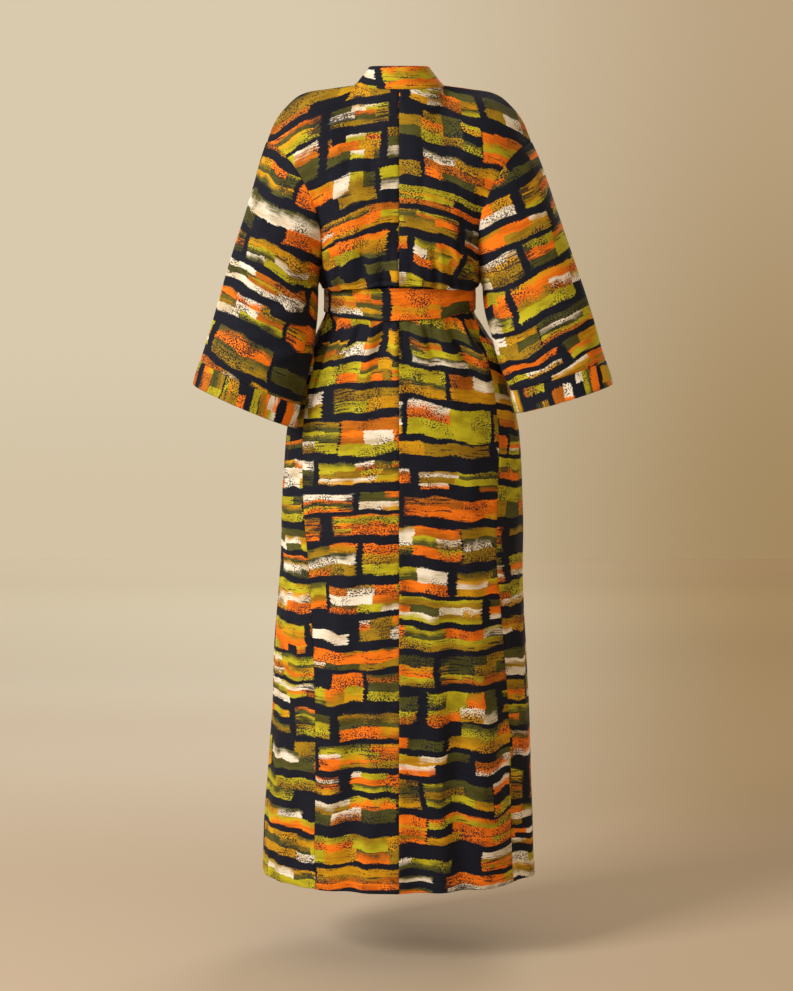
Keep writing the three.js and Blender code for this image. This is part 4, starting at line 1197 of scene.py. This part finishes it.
def make_sleeve(which, side, node, corner):
    """One sleeve from the armhole seam down to the cuff seam, then turned to run up."""
    at = np.concatenate([[0, 0.02, 0.05, 0.09, 0.15], np.linspace(0.22, 7.82, 84), [7.9, 7.95, 7.98, 8]])
    rings = sleeve_rings(side, SLEEVE[which], at)
    outward = -normals_of(rings, ring=True)
    down = unwrap(rings)[..., 1:] * 1000
    lift = sleeve_relief(rings, SLEEVE_FOLDS[which])
    depth = lift[..., None] + seam_ditch(down) + seam_ditch(down[-1:] - down)
    rings = (rings + outward * depth)[::-1]
    points, uv = mirrored(rings, sleeve_map(rings, lift[::-1], side) + corner, side, ring=True)
    return single_layer(place(which + "_sleeve", node, printed_cotton, points, uv, ring=True))


left_sleeve = make_sleeve("left", -1, "sleeve_left", (9.127, 0.164))
right_sleeve = make_sleeve("right", 1, "sleeve_right", (15.318, 0.067))

# %% [markdown]
# ## The cuffs
#
# Each sleeve ends in a band cut along the other thread of the cloth, so its print
# stands upright. It is a short doubled tube, and a little wavy, because nothing
# holds its free edge.

# %% Cuffs
def make_cuff(which, side, node, corner):
    """A doubled band from the cuff seam to the sleeve's end, its print turned."""
    top = sleeve_rings(side, SLEEVE[which], np.array([8.0]))[0]
    up = np.array([0, 0.04, 0.12, 0.24, 0.4, 0.56, 0.72, 0.85, 0.94, 0.985])
    face = mix(sleeve_ellipse(*CUFF_END[which]), top, up[:, None, None])
    wave = 0.5 * np.sin(3 * SLEEVE_TURN + 1) + 0.4 * np.sin(8 * SLEEVE_TURN) * (1 - up[:, None])
    face = face + normals_of(face, ring=True) * (1.2 + 0.5 * np.sin(np.pi * up[:, None]) + wave)[..., None]
    tube = doubled(face, PRESSED_WALL, ring=True)
    uv = unwrap(tube, ring=True, tube=True)[..., ::-1] * [1, side] + corner
    panels[which + "_cuff"], _ = mirrored(face, face, side, ring=True)
    points, uv = mirrored(tube, uv, side, ring=True)
    return place(which + "_cuff", node, pressed_bands, points, uv, ring=True, tube=True)


left_cuff = make_cuff("left", -1, "cuff_left", (14.318, 0.392))
right_cuff = make_cuff("right", 1, "cuff_right", (15.904, 0.127))

# %% [markdown]
# ## The belt
#
# The belt is a strip of the same print folded double. Tied round the waist it
# pulls into a few long shallow wrinkles, and its edges ride up and down a little.

# %% Belt
BELT_COLUMNS, BELT_MM_PER_DEGREE = 320, 2.0
BELT_WRINKLES = [  # degrees and share of the width at each end, width, height, fades
    (8, 0.3, 70, 0.55, 3.0, -0.8, 0.4, 0.5), (-64, 0.62, 4, 0.4, 3.0, -0.9, 0.4, 0.5),
    (-96, 0.3, -30, 0.2, 3.4, -0.8, 0.4, 0.4), (40, 0.78, 104, 0.6, 3.0, -0.8, 0.4, 0.4),
    (-30, 0.82, 22, 0.74, 2.6, -0.6, 0.4, 0.4), (150, 0.4, 200, 0.5, 4.0, 1.0, 0.4, 0.4),
    (212, 0.6, 262, 0.42, 3.4, -0.9, 0.4, 0.4), (110, 0.3, 160, 0.35, 3.4, -0.9, 0.4, 0.4),
    (262, 0.7, 330, 0.62, 3.2, 0.8, 0.4, 0.4), (20, 0.12, 86, 0.2, 3.0, 0.7, 0.4, 0.4)]


def waist_point(angle, z, out):
    """The waist's ring at a level, moved out, without its folds."""
    a = np.radians(angle)
    base = ring_base(1, angle, z)
    return base + vector(out * np.sin(a), -out * np.cos(a), 0 * a)


belt_turn = 180 + np.arange(BELT_COLUMNS) / BELT_COLUMNS * 360
belt_share = np.array([0, 0.03, 0.08, 0.14, 0.22, 0.3, 0.38, 0.46, 0.54, 0.62, 0.7, 0.78, 0.86, 0.92, 0.97,
                       1])
a = np.radians(belt_turn)
foot = BELT_FOOT + 1.1 * np.sin(3 * a + 0.4) - 0.9 * np.cos(5 * a) + 0.6 * np.sin(9 * a)
foot = foot + 7 * ramp(np.sin(a), 0.55, 0.95) + 2 * ramp(-np.sin(a), 0.6, 0.95)
top = BELT_TOP + 0.8 * np.sin(3 * a + 1.0) + 0.5 * np.sin(8 * a)
belt_z = mix(foot, top, belt_share[:, None])
chart = on_chart(BELT_WRINKLES, BELT_MM_PER_DEGREE, BELT_WIDTH)
wrinkled = sum(along_creases((belt_turn - back) * BELT_MM_PER_DEGREE, belt_share[:, None] * BELT_WIDTH, chart)
               for back in (0, 360))
belt_face = waist_point(belt_turn, belt_z, 3.3 + 0.5 * np.sin(np.pi * belt_share[:, None]) + wrinkled)
belt_tube = doubled(belt_face, BELT_WALL, ring=True)
belt = place("belt_cloth", "belt", pressed_bands, belt_tube,
             unwrap(belt_tube, ring=True, tube=True) + (6.57, 0.77), ring=True, tube=True)

# %% [markdown]
# ## The knot
#
# At the front the belt is tied once over itself. The knot is a soft block with
# the last turn of the belt lying across it, so its surface is a rounded box with
# a raised slanting band and pleats that run into it.

# %% Knot
KNOT_CENTRE = np.array([0.0, 111.0, -364.0])
KNOT_HALF = np.array([31.0, 14.5, 29.0])


def knot_surface(theta, phi):
    """A rounded box: each part of a sphere's point to the power 0.6, with a band
    across it, raised where the slanting height is within a third, and pleats."""
    x, y, z = np.sin(theta) * np.cos(phi), np.sin(theta) * np.sin(phi), np.cos(theta) + 0 * phi
    slant = z * 0.92 + x * 0.38
    band = ramp(0.46 - np.abs(slant), 0, 0.14)
    pleats = 0.030 * np.cos(15 * slant + 2 * x) * band + 0.035 * np.cos(9 * phi + 2 * z) * (1 - band)
    grow = 0.90 + 0.10 * band + pleats
    parts = np.stack(np.broadcast_arrays(x, y, z), axis=-1)
    return KNOT_CENTRE + np.sign(parts) * np.abs(parts) ** 0.62 * KNOT_HALF * grow[..., None]


knot_theta = np.linspace(np.pi, 0, 74)[1:-1, None]
knot_phi = np.arange(112)[None] / 112 * 2 * np.pi
knot_points = knot_surface(knot_theta, knot_phi)
knot = place("tied_knot", "belt_knot", pressed_bands, knot_points,
             unwrap(knot_points, ring=True) + (19.41, 0.02), ring=True)

# %% [markdown]
# ## The belt's ends
#
# Each end hangs from under the knot as a doubled strip. It narrows into pleats
# where the knot grips it, and rests on the folds of the front.

# %% Belt ends
TAIL_FORM = table("down centre half_width", [[0, 17, 12], [0.12, 30, 22], [0.3, 35, 27], [1, 46, 27]])
TAIL_LENGTH, TAIL_OUT = 400, 13.2


def tail_points(side, across, down):
    """A belt end: its centre and width read from the table, pleated at the knot,
    and carried on the front's own surface at a clear distance."""
    z = KNOT_CENTRE[2] - KNOT_HALF[2] - 0.3 - down * TAIL_LENGTH
    x = read(TAIL_FORM, "centre", down) - across * read(TAIL_FORM, "half_width", down)
    width = ring_size(side, 180.0, z)[0]
    angle = 180 - np.degrees(np.arcsin(x / width))
    a = np.radians(angle)
    base = ring_base(side, angle, z)
    pleat = 2.2 * np.cos(5.5 * across + side) * np.exp(-down / 0.10)
    curl = 1.6 * np.sin(7 * down + side * 1.3) * across + 1.2 * np.cos(3 * across) * np.sin(11 * down + side)
    out = relief(side * angle, z) + TAIL_OUT + 1.5 + pleat + curl * ramp(down, 0.05, 0.3)
    point = base + vector(out * np.sin(a), -out * np.cos(a), 0 * a)
    point[..., 2] = z
    return point


def make_tail(name, node, side, corner):
    """One hanging end as a doubled strip."""
    down = np.linspace(1, 0, 96)[:, None]
    across = np.array([-1, -0.96, -0.88, -0.75, -0.55, -0.3, 0, 0.3, 0.55, 0.75, 0.88, 0.96, 1.0])[None]
    face = tail_points(side, across, down)
    tube = doubled(face.transpose(1, 0, 2)[::-1], BELT_WALL).transpose(1, 0, 2)[:, ::-1]
    points, uv = mirrored(tube, unwrap(tube, ring=True)[..., ::-1] + corner, side, ring=True)
    return place(name, node, pressed_bands, points, uv, ring=True)


left_tail = make_tail("left_belt_end", "belt_tail_left", -1, (21.117, 0.044))
right_tail = make_tail("right_belt_end", "belt_tail_right", 1, (22.508, 0.091))

# %% [markdown]
# ## Stitches
#
# Seams sewn from the wrong side show no thread, but the turned hem and the edges
# of the bands are topstitched in dark thread. Each stitch is a small spindle: two
# points and a square waist, eight triangles. They are placed along lines of the
# finished surfaces, so they follow every fold.

# %% Stitching
STITCH = {"pitch": 3.4, "length": 2.5, "radius": 0.28}


def stitch_line(points, normals):
    """Spindles a pitch apart along a line: tangent, normal and their cross product
    carry the six corners of one stitch to each place."""
    steps = np.concatenate([[0], np.cumsum(np.linalg.norm(np.diff(points, axis=0), axis=1))])
    at = np.arange(STITCH["pitch"] / 2, steps[-1], STITCH["pitch"])

    def at_length(length, values):
        return np.stack([np.interp(length, steps, values[:, k]) for k in range(3)], axis=1)

    middle, out = at_length(at, points), at_length(at, normals)
    along = at_length(at + 0.5, points) - at_length(at - 0.5, points)
    along = along / np.linalg.norm(along, axis=1, keepdims=True)
    beside = np.cross(out, along)
    corners = np.array([[-1, 0, 0], [1, 0, 0], [0, 1, 0], [0, 0, 1], [0, -1, 0], [0, 0, -1]])
    corners = corners * [STITCH["length"] / 2, STITCH["radius"], STITCH["radius"]]
    axes = np.stack([along, beside, out], axis=1)
    return (middle + 0.12 * out)[:, None] + corners @ axes


SPINDLE = np.array([[0, 3, 2], [0, 4, 3], [0, 5, 4], [0, 2, 5], [1, 2, 3], [1, 3, 4], [1, 4, 5], [1, 5, 2]])


def stitched(name, lines, material):
    """One mesh of all the stitches of a piece."""
    spindles = np.concatenate([stitch_line(points, normals) for points, normals in lines])
    faces = (SPINDLE[None] + 6 * np.arange(len(spindles))[:, None, None]).reshape(-1, 3)
    mesh = bpy.data.meshes.new(name)
    mesh.from_pydata((spindles.reshape(-1, 3) / 1000).tolist(), [], faces.tolist())
    mesh.materials.append(material)
    piece = bpy.data.objects.new(name, mesh)
    scene.collection.objects.link(piece)
    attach(piece, "root")
    print(f"{name}: {len(spindles)} stitches")
    return piece


thread = bpy.data.materials.new("dark_thread")
thread.use_nodes = True
thread_shader = thread.node_tree.nodes["Principled BSDF"]
thread_place = Field(thread.node_tree, thread.node_tree.nodes.new("ShaderNodeTexCoord").outputs["Object"])
twist = thread_place.node("ShaderNodeTexNoise", {}, {"Vector": thread_place, "Scale": 900.0})
thread.node_tree.links.new(twist.blend((0.010, 0.011, 0.016, 1), (0.035, 0.036, 0.045, 1)).socket,
                           thread_shader.inputs["Base Color"])
thread_shader.inputs["Roughness"].default_value = 0.6


# %% [markdown]
# ## Where the stitches run
#
# One row holds up the hem, and a row runs close to each edge of the neckband, the
# belt and the cuffs. The pieces kept their grids, so a row of stitches is a row of
# a grid.

# %% Stitch rows on each piece
def lines_of(face, rows, ring=False):
    """Rows of a grid, each with its outward directions."""
    normals = normals_of(face, ring)
    return [(face[row], normals[row]) for row in rows]


hem_row = int(np.argmin(np.abs(LEVELS - HEM_Z - HEM_TURN)))
hem_lines = [line for name in ("left_back", "right_back", "left_front", "right_front")
             for line in lines_of(panels[name], [hem_row])]
cuff_lines = [line for name in ("left_cuff", "right_cuff")
              for line in lines_of(panels[name], (1, 8), ring=True)]
hem_stitches = stitched("hem_stitches", hem_lines, thread)
band_stitches = stitched("neckband_stitches", lines_of(band_face, (1, 9)), thread)
belt_stitches = stitched("belt_stitches", lines_of(belt_face, (2, 13), ring=True), thread)
cuff_stitches = stitched("cuff_stitches", cuff_lines, thread)
